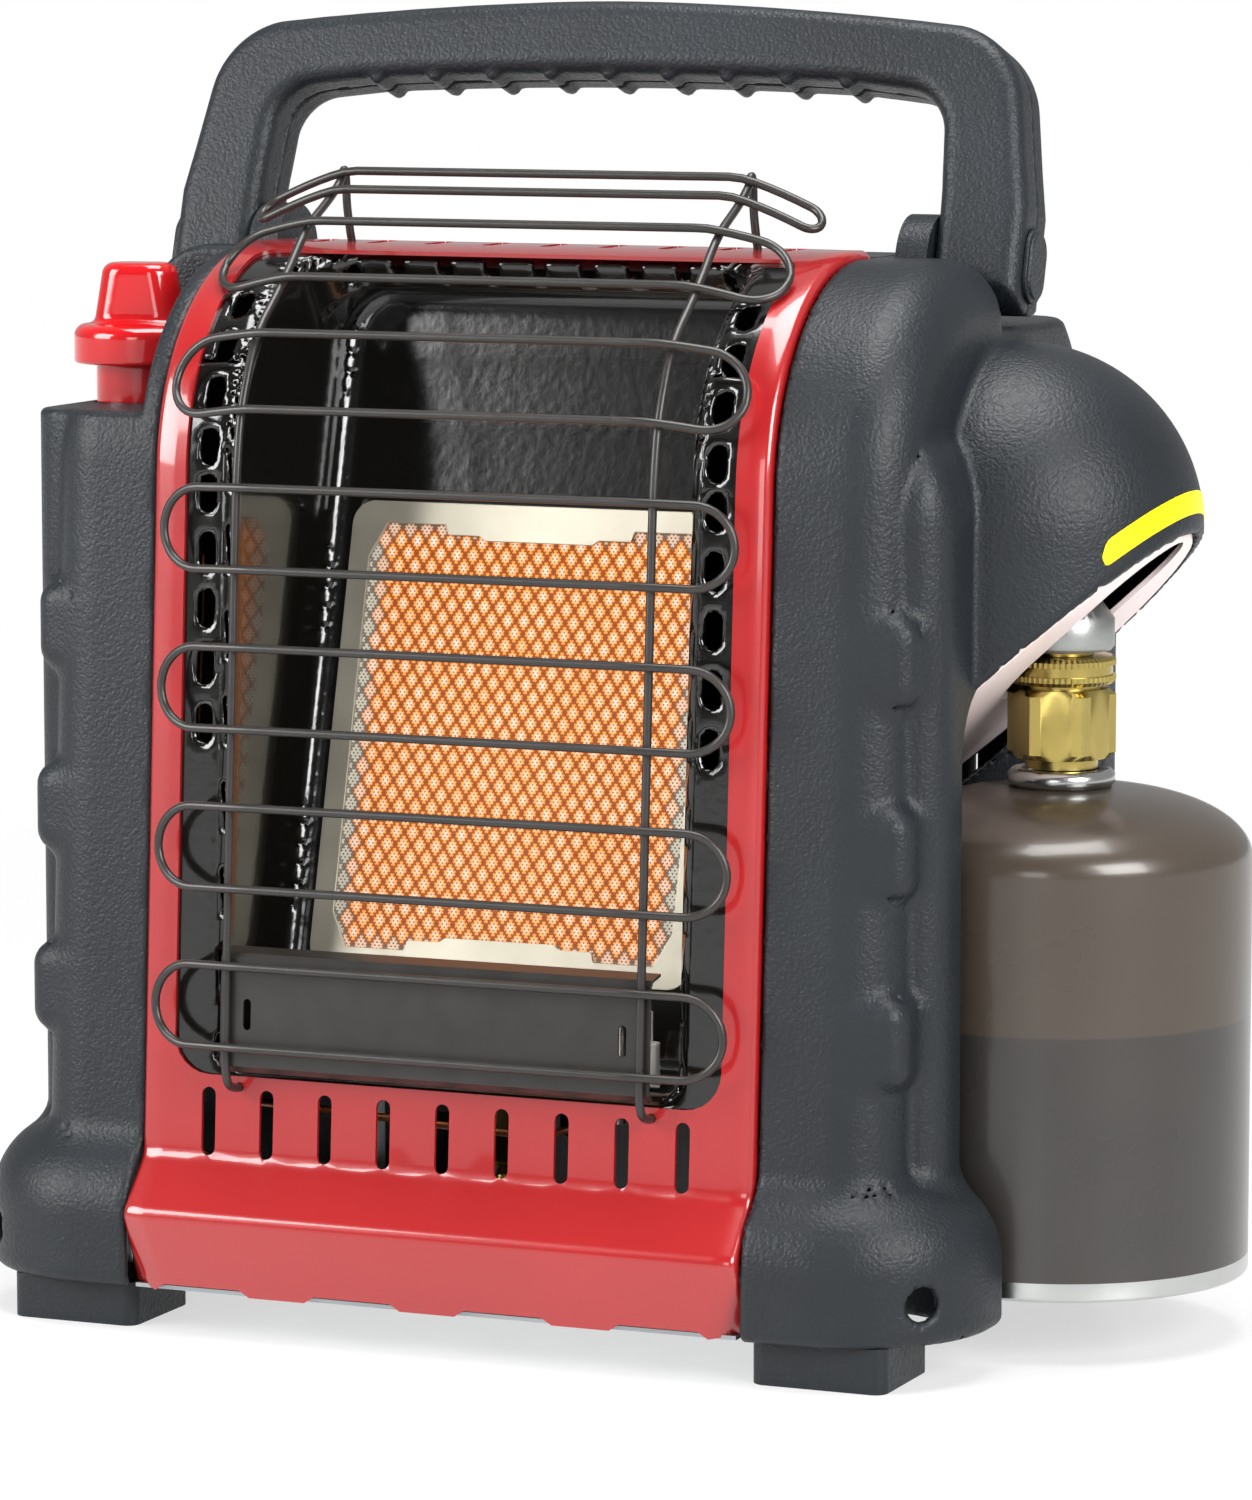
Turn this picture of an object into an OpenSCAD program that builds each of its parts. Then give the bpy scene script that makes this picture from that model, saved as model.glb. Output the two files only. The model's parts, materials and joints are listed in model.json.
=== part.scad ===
// Portable radiant gas heater: sheet-metal front, moulded side covers, wire guard,
// folding handle, swing-out regulator and a screw-on gas canister.
// Millimetres. X runs to the right seen from the front, Y to the rear, Z up.
// The casing is drawn with X = 0 on the front panel's centre line, Y = 0 on its face and
// Z = 0 on the floor, and every piece is then moved so that the origin is under the middle.

/* [Casing] */
// Half width of the red front panel
panel_hw = 95; // [90:1:100]
// Height of the flat top above the floor
top_z = 311; // [304:1:316]
// Depth from the panel's face to the back
body_d = 182; // [178:1:186]
// Lean of the front panel, degrees
lean = 3.4; // [2:0.2:4.4]
// Radius of the front panel's rolled top
roll_r = 66; // [60:1:70]
// Width of a side cover outside the panel, to its outer wall
wall_out = 47; // [46:1:49]
// Thickness of the moulded plastic
moulding_t = 3; // [2.4:0.2:3.4]
// Thickness of the sheet metal
sheet_t = 1.2; // [0.8:0.2:1.6]
// Height of the feet below the skirt
foot_h = 13; // [10:1:14]

/* [Front openings] */
// Half width of the opening in the panel
open_hw = 85; // [84:0.5:86]
// Lower edge of that opening
open_z = 75; // [74:1:78]
// Number of slots in each row
slot_n = 9; // [5:1:9]
// Slot spacing
slot_pitch = 18.45; // [17:0.05:19]
// Slot length
slot_l = 20; // [16:0.5:22]
// Slot width
slot_w = 4.4; // [3:0.2:6]

/* [Burner] */
// Half width of the burner frame
frame_hw = 60; // [57:1:61]
// Length of the burner frame along its lean
frame_l = 138; // [130:1:140]
// Width of the frame's border
frame_border = 6.5; // [5:0.5:8]
// Lean of the burner, degrees
burner_lean = 14.3; // [12:0.1:16]

/* [Guard] */
// Wire diameter
wire_d = 2.5; // [2.2:0.1:3.0]
// Number of hoops on the upright part
hoop_n = 5; // [4:1:5]
// Spacing of the hoops
hoop_pitch = 45.5; // [44:0.5:46]
// Height of the lowest hoop's middle above the panel's fold, along the face
hoop_u = 45.3; // [44:0.1:46]
// Height of a hoop between wire centres
hoop_h = 23.3; // [21:0.1:24]
// Half length of a hoop to its wire's centre
hoop_hw = 88; // [84:0.5:89]
// Distance of the two uprights from the centre line
upright_x = 64.2; // [60:0.2:65]
// Distance of the hoops' wire from the panel's face
guard_gap = 12; // [10:0.5:13]

/* [Handle] */
// Height of the pivot above the floor
pivot_z = 306; // [304:1:308]
// Pivot's distance behind the panel's face
pivot_y = 114; // [110:1:117]
// Lean of the handle at rest, degrees
handle_lean = 17; // [12:1:19]
// Height of the grip's top above the pivot, along the arms
handle_h = 75.9; // [74:0.1:80]
// How much lower the grip's ends lie than its middle
grip_crown = 6.3; // [4:0.1:7]
// Depth of the arms from front to back
handle_t = 24; // [20:1:26]
// Number of finger ribs under the grip
rib_n = 9; // [5:1:10]
// Diameter of the pivot pins
pin_d = 8; // [6:0.5:9]

/* [Gas canister and regulator] */
// Radius of the canister
can_r = 55; // [50:1:55]
// Height of the canister's side up to the shoulder
can_side = 120; // [100:1:122]
// Height of the canister's base above the floor
can_z = 18.5; // [16:0.5:24]
// Canister axis, outside the panel's right edge
can_out = 54.8; // [54.6:0.2:56]
// Canister axis behind the panel's face
can_y = 101; // [100:0.5:102]
// Clearance round the canister in its bay
bay_gap = 5; // [4:0.5:6]
// Radius of the dome over the regulator
dome_r = 53.4; // [52.8:0.2:54.6]
// Height of the dome's centre
dome_z = 232; // [230:0.5:233]
// Height of the regulator's swing axis
swing_z = 250; // [248:1:251]

/* [Knob] */
// Height of the ledge that the knob stands on
ledge_z = 264; // [258:1:266]
// Radius of the knob's flange
knob_r = 19.5; // [17:0.5:20]
// Travel of the knob when it is pressed
knob_travel = 4; // [3:0.5:5]

/* [Hidden] */

// running clearances
fit = 0.3;         // between rigid neighbours that don't move
play = 0.05;       // radial, a pin in its hole

// front face and its profile in the YZ plane
fold_z = 51;       // where the lip turns out
lip_z = 37;        // the lip's foremost edge
lip_out = 13;
lip_foot = 10;     // the lip's foot stands this far out
steps = 10;        // facets on the roll
top_rear = 96;     // rear edge of the red top
flange_d = 7;      // depth of the panel's side flanges
seam = 0.4;        // gap between the panel and a cover

// outer covers
wall_hw = panel_hw + wall_out;
can_x = panel_hw + can_out;
column_hw = panel_hw + 38;         // outer side of the front column
column_r = 18;     // rounding of the column
column_set = 2.2;  // the covers lie this far behind the panel's face
wall_y = 22;       // front of the outer wall
wall_r = 12;
rear_r = 60;       // rounding of the rear top edge
shoulder_r = 34;   // rounding of the right-hand shoulder
skirt_hw = wall_hw + 13;
skirt_r = 42;
bump_z = [201, 148, 95.5];
bump_h = 26;
bump_out = 3.5;
post_x = panel_hw + 17;
post_y = [22, body_d - 16];
pocket_z = pivot_z - 17;           // floor of the handle's pockets

dome_x = can_x - 14;
dome_t = 3;
plate_slope = 42;                  // slope of the plate under the dome
plate_z = 197.8;                   // height of that plate at the canister's axis
bay_r = can_r + bay_gap;

knob_x = panel_hw + 30;            // knob's axis, to the left
knob_y = 62;
knob_low_r = 13;
stem_r = 4;
valve_top = ledge_z - 14;

lug_x = panel_hw + 3.5;            // inner face of a lug
lug_t = 9.6;
lug_r = 14.4;
arm_x = lug_x + lug_t + 0.4;       // inner face of an arm
pin_r = pin_d / 2;

hook_z = 72;                       // where the guard hooks into the panel
leg_y = 80;                        // where it stands on the top

rim_x = can_x + can_r;
mid_x = (rim_x - skirt_hw) / 2;
mid_y = (body_d - lip_out) / 2;

function face_front(z) = (z - fold_z) * tan(lean);

// ---------- helpers ----------

function arc(c, r, a0, a1, n) =
  [for (i = [0:n]) c + r * [cos(a0 + (a1 - a0) * i / n), sin(a0 + (a1 - a0) * i / n)]];

function normal2(p, q) = let (d = q - p) [d[1], -d[0]] / norm(d);

// A path moved sideways by t, to the right of its direction, with mitred corners.
function shifted(path, t) =
  let (n = len(path))
  [for (i = [0:n - 1])
    let (a = i == 0 ? normal2(path[0], path[1]) : normal2(path[i - 1], path[i]),
         b = i == n - 1 ? a : normal2(path[i], path[i + 1]),
         m = (a + b) / 2)
    path[i] + m * t / (m * m)];

function reversed(list) = [for (i = [len(list) - 1:-1:0]) list[i]];

// A YZ outline drawn out along X from x0 to x1.
module along_x(x0, x1) {
  translate([x0, 0, 0]) rotate([90, 0, 90]) linear_extrude(x1 - x0) children();
}

// A slab between a path and the same path moved sideways.
module ribbon(path, t0, t1, x0, x1) {
  along_x(x0, x1) polygon(concat(shifted(path, t0), reversed(shifted(path, t1))));
}

// Solid through a list of rings that all have as many points. Rings are convex.
module loft(rings) {
  n = len(rings[0]);
  m = len(rings);
  polyhedron(
    points = [for (r = rings) each r],
    faces = concat(
      [[for (i = [n - 1:-1:0]) i]],
      [for (k = [0:m - 2]) for (i = [0:n - 1]) each
        [[k * n + i, k * n + (i + 1) % n, (k + 1) * n + i],
         [k * n + (i + 1) % n, (k + 1) * n + (i + 1) % n, (k + 1) * n + i]]],
      [[for (i = [0:n - 1]) (m - 1) * n + i]]));
}

// Tube of a radius along a path of points in space. A closed path joins its ends.
function unit(v) = v / norm(v);
function tangent(path, i, closed) =
  let (n = len(path),
       a = path[closed ? (i + n - 1) % n : max(i - 1, 0)],
       b = path[closed ? (i + 1) % n : min(i + 1, n - 1)])
  unit(b - a);
module tube(path, r, sides = 8, closed = false, hint = [0, 0, 1]) {
  n = len(path);
  rings = [for (i = [0:n - 1])
    let (t = tangent(path, i, closed),
         u = unit(cross(t, hint)),
         v = cross(t, u))
    [for (k = [0:sides - 1])
      path[i] + r * (u * cos(360 * (k + 0.5) / sides) + v * sin(360 * (k + 0.5) / sides))]];
  polyhedron(
    points = [for (q = rings) each q],
    faces = concat(
      [for (k = [0:(closed ? n - 1 : n - 2)]) for (i = [0:sides - 1])
        let (j = (k + 1) % n) each
        [[k * sides + i, j * sides + i, k * sides + (i + 1) % sides],
         [k * sides + (i + 1) % sides, j * sides + i, j * sides + (i + 1) % sides]]],
      closed ? [] : [[for (i = [0:sides - 1]) i],
                     [for (i = [sides - 1:-1:0]) (n - 1) * sides + i]]));
}

// Flat slot with round ends, its length along Y of the sheet.
module stadium(w, l) {
  square([w, l - w], center = true);
  for (s = [-1, 1]) translate([0, s * (l - w) / 2]) circle(d = w, $fn = 16);
}

module rounded_rect(x0, x1, y0, y1, r) {
  translate([x0 + r, y0]) square([x1 - x0 - 2 * r, y1 - y0]);
  translate([x0, y0 + r]) square([x1 - x0, y1 - y0 - 2 * r]);
  for (x = [x0 + r, x1 - r]) for (y = [y0 + r, y1 - r])
    translate([x, y]) circle(r, $fn = 48);
}

module mirrored_x() { children(); mirror([1, 0, 0]) children(); }

// Moves a piece from the casing's frame to the frame with its origin under the middle.
module place() { translate([-mid_x, -mid_y, 0]) children(); }

// ---------- outlines in the YZ plane ----------

roll_c = [face_front(top_z - roll_r) + roll_r / cos(lean), top_z - roll_r];
roll_pts = arc(roll_c, roll_r, 180 - lean, 90, steps);

// Front face from the fold, over the roll to the flat top.
function face_path(z0, y_end) = concat([[face_front(z0), z0]], roll_pts, [[y_end, top_z]]);
// The panel's whole path, from the lip's foot.
panel_path = concat([[-lip_foot, foot_h], [-lip_out, lip_z - 3], [-lip_out + 1, lip_z]],
                    face_path(fold_z, top_rear));

// A point that lies g in front of the face, u along it from the fold.
straight = (roll_pts[0][1] - fold_z) / cos(lean);
function surf(u, g) = u < straight
  ? [u * sin(lean) - g * cos(lean), fold_z + u * cos(lean) + g * sin(lean)]
  : let (a = 180 - lean - (u - straight) / (roll_r + g) * 180 / PI)
    roll_c + (roll_r + g) * [cos(a), sin(a)];

// ---------- front panel ----------

module slot_row() {
  for (i = [0:slot_n - 1]) translate([(i - (slot_n - 1) / 2) * slot_pitch, 0, 0]) children();
}

module front_panel() {
  color("firebrick") difference() {
    union() {
      ribbon(panel_path, 0, sheet_t, -panel_hw, panel_hw);
      for (s = [-1, 1])
        ribbon(panel_path, 0, flange_d, s * (panel_hw - sheet_t / 2) - sheet_t / 2,
               s * (panel_hw - sheet_t / 2) + sheet_t / 2);
    }
    // opening, up to the roll's rear part
    translate([0, roll_c[1] / 2, 0]) rotate([90, 0, 0])
      linear_extrude(roll_c[1] / 2 + 30)
        rounded_rect(-open_hw, open_hw, open_z, roll_pts[steps - 1][1] - 1, 11);
    slot_row() {
      translate([0, 20, 61.5]) rotate([90, 0, 0]) linear_extrude(40) stadium(slot_w, slot_l);
      translate([0, 82, top_z - 4]) linear_extrude(8) stadium(slot_w, slot_l - 4);
    }
    for (s = [-1, 1]) {
      translate([s * upright_x, leg_y, top_z - 8]) cylinder(d = wire_d + 0.4, h = 20, $fn = 16);
      translate([s * upright_x, 12, hook_z]) rotate([90, 0, 0])
        cylinder(d = wire_d + 0.4, h = 30, $fn = 16);
    }
    // shallow scallops along the lip's lower edge
    for (x = [-71, -23.5, 23.5, 71])
      translate([x, 0, foot_h]) rotate([90, 0, 0]) linear_extrude(20)
        polygon([[-15, -1], [-12, 2], [12, 2], [15, -1]]);
  }
}

// ---------- moulded side covers, drawn for the right-hand side ----------

// Closed side outline of a cover, drawn in by t from the front, top and rear.
function cover_ring(t, low) =
  let (f = column_set + t)
  concat([[(low - fold_z) * tan(lean) + f / cos(lean), low]],
         arc(roll_c, roll_r - f, 180 - lean, 90, steps),
         arc([body_d - rear_r, top_z - column_set - rear_r], rear_r - t, 90, 0, 7),
         [[body_d - t, low]]);
function on_x(ring, x) = [for (p = ring) [x, p[0], p[1]]];

// Column: side outlines drawn in as they go outwards, as a quarter round.
module column(wall) {
  r = column_r - wall;
  start = column_hw - column_r;
  low = wall > 0 ? 30 : 40;
  loft(concat(
    [on_x(cover_ring(wall, low), panel_hw + (wall > 0 ? -5 : seam))],
    [for (a = [0, 16, 32, 48, 63, 77, 88])
      on_x(cover_ring(wall + r * (1 - cos(a)), low), start + r * sin(a))]));
}

// Round-cornered plan outline at a height, with a straight inboard side.
function plan_ring(x0, x1, y0, y1, r, z, n = 6) =
  concat([[x0, y1, z]],
         [for (p = arc([x1 - r, y1 - r], r, 90, 0, n)) [p[0], p[1], z]],
         [for (p = arc([x1 - r, y0 + r], r, 0, -90, n)) [p[0], p[1], z]],
         [[x0, y0, z]]);

// Skirt: outlines that swell out below the column. [height, inset] pairs.
skirt_rows = [[foot_h, 3.4], [foot_h + 3, 0.8], [33, 0], [36, 0.8], [45, 5], [52, 12], [56, 22]];
module skirt(wall) {
  x0 = panel_hw + (wall > 0 ? -5 : seam);
  loft([for (s = skirt_rows)
    plan_ring(x0, skirt_hw - s[1] - wall, -lip_out + 2 + s[1] + wall,
              body_d - s[1] / 3 - wall, max(skirt_r - s[1] - wall, 8),
              s[0] + (wall == 0 ? 0 : (s[0] == foot_h ? -4 : (s[0] > 40 ? -wall : 0))))]);
}

// Outer wall, with a rounded shoulder where it runs up to the top.
function in_of(z, top, r) =
  z <= top - r ? 0 : r - sqrt(max(0, r * r - (z - top + r) * (z - top + r)));
module outer_wall(wall, rows, shoulder) {
  loft([for (z = rows)
    let (s = in_of(z, shoulder, shoulder_r - wall), b = in_of(z, top_z - column_set - wall, rear_r - wall))
    plan_ring(panel_hw + 2, wall_hw - wall - s, wall_y + wall + s, body_d - wall - b, wall_r - wall / 2, z)]);
}
wall_top = 272;                    // the right-hand wall ends below the dome's top
right_rows = concat([30], [for (d = [60, 34, 23, 14, 7, 2]) wall_top - d]);
left_rows = [30, 249, ledge_z];
function lowered(rows, d) = [for (i = [0:len(rows) - 1]) rows[i] - (i == 0 ? 20 : d)];

// A grip bump on the column's outer corner.
module bump(z) {
  y = face_front(z) + 5;
  function ring(x, i) = [for (p = concat(arc([y + 8, z + bump_h / 2 - 8], 8 - i, 180, 90, 4),
                             [[y + 34, z + bump_h / 2 - i], [y + 34, z - bump_h / 2 + i]],
                             arc([y + 8, z - bump_h / 2 + 8], 8 - i, 270, 180, 4)))
                         [x, p[0], p[1]]];
  loft([ring(column_hw - 16, 0), ring(column_hw + bump_out - 4, 0),
        ring(column_hw + bump_out - 1.4, 1.4), ring(column_hw + bump_out, 4.4)]);
}

// Pocket in the top that the handle's arm turns in.
module pocket(grow) {
  translate([lug_x - fit - grow, pivot_y - lug_r - 3.5 - grow, pocket_z - grow])
    cube([80, body_d, 90]);
}
// Notch above the ledge that the knob stands on. It leaves a narrow strip beside the panel.
module knob_well(grow) {
  translate([panel_hw + 7 - grow, -30, ledge_z - grow]) cube([120, 30 + knob_y + knob_r + 3 + grow, 90]);
}
// Space under the sloping plate, and the same plane raised.
module above_plate(raise) {
  translate([can_x, can_y, plate_z + raise / cos(plate_slope)]) rotate([0, -plate_slope, 0])
    translate([-140, -150, 0]) cube([340, 300, 200]);
}
module bay(grow) {
  difference() {
    translate([can_x, can_y, -20]) cylinder(r = bay_r + grow, h = 320, $fn = 64);
    above_plate(grow);
  }
}
module dome(grow) {
  translate([dome_x, can_y, dome_z]) sphere(dome_r + grow, $fn = 48);
  translate([dome_x, can_y, dome_z - 100]) cylinder(r = dome_r + grow, h = 100, $fn = 48);
}
module dome_cavity(grow) {
  intersection() { dome(grow - dome_t); above_plate(-grow - 1); }
}
hole_dir = 135;                    // where the supply tube leaves the dome
tube_z = 236;
module dome_hole(r) {
  translate([dome_x, can_y, tube_z]) rotate([0, 0, hole_dir]) rotate([0, 90, 0])
    translate([0, 0, dome_r - 14]) cylinder(r = r, h = 24, $fn = 16);
}

module posts(bore) {
  for (y = post_y) translate([post_x, y, foot_h - (bore ? 1 : 0)]) {
    cylinder(r = bore ? 2.05 : 5, h = 22, $fn = bore ? 16 : 24);
    if (!bore) translate([0, -1.5, 0]) cube([skirt_hw - 4 - post_x, 3, 20]);
  }
}
module skirt_hole() {
  translate([skirt_hw - 13, 6, 25]) rotate([0, 0, -40]) rotate([0, 90, 0])
    translate([0, 0, -14]) cylinder(r = 5, h = 40, $fn = 24);
}
module cover_solid(left) {
  column(0);
  skirt(0);
  if (left) outer_wall(0, left_rows, 400); else outer_wall(0, right_rows, wall_top);
  for (z = bump_z) bump(z);
}
module cover_hollow(left) {
  column(moulding_t);
  skirt(moulding_t);
  if (left) outer_wall(moulding_t, lowered(left_rows, moulding_t), 400);
  else outer_wall(moulding_t, lowered(right_rows, moulding_t), wall_top - moulding_t);
}

module left_side_cover() {
  color("darkslategray") mirror([1, 0, 0]) difference() {
    union() {
      difference() { cover_solid(true); cover_hollow(true); }
      intersection() {
        cover_solid(true);
        union() { pocket(moulding_t); knob_well(moulding_t); posts(false); }
      }
    }
    pocket(0);
    knob_well(0);
    translate([knob_x, knob_y, ledge_z - 9]) cylinder(r = knob_low_r + 0.5, h = 20, $fn = 32);
    posts(true);
    skirt_hole();
  }
}

module right_side_cover() {
  color("darkslategray") difference() {
    union() {
      difference() { cover_solid(false); cover_hollow(false); }
      intersection() {
        cover_solid(false);
        union() { pocket(moulding_t); bay(moulding_t); posts(false); }
      }
      intersection() { dome(0); above_plate(-1); }
    }
    pocket(0);
    bay(0);
    dome_cavity(0);
    dome_hole(3.4);
    posts(true);
    skirt_hole();
  }
}

// ---------- rear cover, base pan, feet ----------

rear_in = 2.2;
rear_path = concat([[top_rear + fit, top_z - rear_in]],
                   arc([body_d - rear_r, top_z - column_set - rear_r], rear_r, 90, 0, 7),
                   [[body_d - rear_in, foot_h]]);
module rear_cover() {
  color("darkslategray") difference() {
    union() {
      ribbon(rear_path, 0, sheet_t, -panel_hw, panel_hw);
      for (s = [-1, 1])
        ribbon(rear_path, 0, flange_d, s * (panel_hw - sheet_t / 2) - sheet_t / 2,
               s * (panel_hw - sheet_t / 2) + sheet_t / 2);
    }
    for (z = [60, 96, 132, 168]) for (x = [-60:20:60])
      translate([x, body_d + 5, z]) rotate([90, 0, 0]) linear_extrude(20) stadium(5, 24);
    for (x = [-80, -28, 28, 80]) translate([x, body_d + 5, 20]) rotate([90, 0, 0])
      cylinder(r = 2.05, h = 30, $fn = 16);
  }
}

pan_x = panel_hw - sheet_t - fit;
pan_y = body_d - rear_in - sheet_t;
module base_pan() {
  color("darkgray") difference() {
    union() {
      translate([-pan_x, -lip_foot + sheet_t + 1, foot_h]) cube([2 * pan_x, pan_y + lip_foot - sheet_t - 1, sheet_t]);
      for (x = [-pan_x, pan_x - sheet_t]) translate([x, flange_d + 2, foot_h])
        cube([sheet_t, pan_y - flange_d - 12, 12]);
      translate([-pan_x + 8, pan_y - sheet_t, foot_h]) cube([2 * pan_x - 16, sheet_t, 14]);
    }
    translate([can_x, can_y, 0]) cylinder(r = bay_r + moulding_t + 0.4, h = 60, $fn = 64);
    for (x = [-80, -28, 28, 80]) translate([x, body_d, 20]) rotate([90, 0, 0])
      cylinder(r = 1.95, h = 30, $fn = 16);
    for (y = [20, 45, 70]) for (x = [-70:28:70]) translate([x, y, 0])
      linear_extrude(30) stadium(6, 18);
    translate([-62, 128, 0]) cylinder(r = 4, h = 30, $fn = 24);
  }
}

module feet() {
  color("darkslategray") for (s = [0, 1]) mirror([s, 0, 0]) for (y = post_y)
    translate([post_x + 3, y - 9, 0]) difference() {
      linear_extrude(foot_h) rounded_rect(-19, 21, -17, 19, 4);
      translate([0, 0, -1]) linear_extrude(foot_h - 2) rounded_rect(-16, 18, -14, 16, 2.5);
      translate([-3, 9, 0]) cylinder(r = 2.05, h = 40, $fn = 16);
    }
}

// A round-headed screw, its head's underside at the origin and its shaft down -Z.
module screw(r, l, head_r, head_h) {
  rotate_extrude($fn = 24) polygon([[0, -l], [r, -l], [r, 0], [head_r, 0], [head_r, head_h * 0.4],
                                    [head_r * 0.6, head_h], [0, head_h]]);
}
module foot_screws() {
  color("silver") for (s = [0, 1]) mirror([s, 0, 0]) for (y = post_y)
    translate([post_x, y, foot_h - 3]) mirror([0, 0, 1]) screw(2, 18, 4, 2.4);
}
module rear_screws() {
  color("silver") for (x = [-80, -28, 28, 80])
    translate([x, body_d - rear_in + 0.12, 20]) rotate([-90, 0, 0]) screw(1.95, 8, 3.6, 1.8);
}

// ---------- combustion chamber and burner ----------

burner_y = 38;
burner_z = 102;
box_hw = 70;                       // inner half width of the chamber
box_z = 78;                        // its floor
lip_pt = [75, top_z - 13.5];       // rear edge of the strip over the mouth
back_n = 6;                        // the back wall lies this far behind the frame's face

// From the burner's own frame (n behind its face, t up its lean) to Y and Z.
function bl(n, t) = [burner_y + n * cos(burner_lean) + t * sin(burner_lean),
                     burner_z - n * sin(burner_lean) + t * cos(burner_lean)];
function t_at(n, z) = (z - burner_z + n * sin(burner_lean)) / cos(burner_lean);
module on_burner() {
  translate([0, burner_y, burner_z]) rotate([-burner_lean, 0, 0]) children();
}

mouth_path = concat([[face_front(open_z - 5), open_z - 5]], [for (i = [0:steps - 1]) roll_pts[i]]);
roll_end = roll_pts[steps - 1];
// The flange follows the panel's inside, then turns down over the mouth.
flange_path = concat(mouth_path, [lip_pt - (sheet_t + 1) * normal2(roll_end, lip_pt)]);
// The chamber seen from the front: straight sides that round in to the strip at the top.
mouth_r = 13;
module mouth(grow) {
  x = box_hw + grow;
  r = mouth_r + grow;
  top = lip_pt[1] + grow;
  polygon(concat([[x, box_z - 5], [x, top - r]], arc([x - r, top - r], r, 0, 80, 8),
                 [[x - r, top_z + 60], [-x + r, top_z + 60]],
                 arc([-x + r, top - r], r, 100, 180, 8), [[-x, top - r], [-x, box_z - 5]]));
}
module through_mouth(grow) {
  translate([0, 150, 0]) rotate([90, 0, 0]) linear_extrude(250) mouth(grow);
}
module combustion_chamber() {
  n = len(flange_path);
  mid = shifted(flange_path, sheet_t + 0.5);
  corner = shifted(flange_path, sheet_t + 1.3)[n - 2];
  color("dimgray") difference() {
    union() {
      ribbon(flange_path, sheet_t, sheet_t + 1, -open_hw - 3, open_hw + 3);
      intersection() {
        along_x(-box_hw - 1, box_hw + 1)
          polygon(concat([bl(back_n + 1, t_at(back_n + 1, box_z - 1)), [face_front(box_z) + 2, box_z - 1]],
                         [for (i = [1:n - 1]) mid[i]],
                         [bl(back_n + 1, t_at(back_n + 1, lip_pt[1] + 1))]));
        through_mouth(1);
      }
    }
    intersection() {
      along_x(-box_hw, box_hw)
        polygon([[-40, box_z], bl(back_n, t_at(back_n, box_z)), bl(back_n, t_at(back_n, lip_pt[1])),
                 lip_pt, lip_pt + 60 * unit(corner - lip_pt), [-40, top_z + 40]]);
      through_mouth(0);
    }
    // window for the burner
    on_burner() translate([-frame_hw + 1.2, -5, 1]) cube([2 * frame_hw - 2.4, 30, frame_l - 2]);
    // perforations down the flange and along the strip
    for (s = [-1, 1]) {
      for (z = [176:16.5:242]) translate([s * 78.4, 40, z]) rotate([90, 0, 0])
        linear_extrude(60) stadium(5, 11);
      for (a = [74, 60, 46, 32]) translate([s * 78.4, roll_c[0], roll_c[1]]) rotate([a, 0, 0])
        translate([0, 0, roll_r - 8]) linear_extrude(14) stadium(5, 10);
    }
    for (x = [-60:15:60]) translate([x, (corner[0] + lip_pt[0]) / 2, top_z - 16])
      cylinder(r = 2, h = 20, $fn = 16);
    // room for the pilot's bracket
    translate([24, 14, box_z - 5]) cube([36, 12, 10]);
  }
}

// Half of the frame's opening: cut corners, and notched tabs over the tile at the foot and the top.
function tab_side(c, s) =
  let (half = [[0, c[1] + 4.4], [17, c[1] + 4.4], [19, c[1] + 3], [29, c[1] + 3], [30, c[1]], [c[0] - 5, c[1]], [c[0], c[1] + 10]])
  [for (p = concat(half, [for (q = reversed(half)) [q[0], frame_l - q[1]]])) [s * p[0], p[1]]];
module burner_frame() {
  color("silver") on_burner() difference() {
    translate([0, 0, frame_l / 2]) rotate([-90, 0, 0]) linear_extrude(back_n)
      rounded_rect(-frame_hw, frame_hw, -frame_l / 2, frame_l / 2, 7);
    translate([-frame_hw + 1.2, 1.2, 1]) cube([2 * frame_hw - 2.4, 20, frame_l - 2]);
    translate([0, 10, 0]) rotate([90, 0, 0]) linear_extrude(15) polygon(concat(
      tab_side([frame_hw - frame_border, frame_border], 1),
      reversed(tab_side([frame_hw - frame_border, frame_border], -1))));
  }
}

tile_hw = frame_hw - 1.5;
module burner_tile() {
  color("sandybrown") on_burner() difference() {
    translate([-tile_hw, 1.2, 1.3]) cube([2 * tile_hw, 11, frame_l - 2.6]);
    // shallow grooves round the glowing field
    for (x = [-1, 1]) translate([x * (frame_hw - frame_border - 2) - 0.6, 0, frame_border + 2])
      cube([1.2, 2, frame_l - 2 * frame_border - 4]);
  }
}

module burner_plenum() {
  front = back_n + 1;
  color("gray") on_burner() difference() {
    along_x(-frame_hw - 1, frame_hw + 1)
      polygon([[front, -2], [front + 29, -2], [front + 29, 60], [front + 14, frame_l + 2], [front, frame_l + 2]]);
    along_x(-frame_hw + 0.2, frame_hw - 0.2)
      polygon([[front - 1, -0.8], [front + 27.8, -0.8], [front + 27.8, 59.8], [front + 13.2, frame_l + 0.8], [front - 1, frame_l + 0.8]]);
    translate([0, front + 15, -5]) cylinder(r = 7.5, h = 10, $fn = 24);
  }
}

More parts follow.
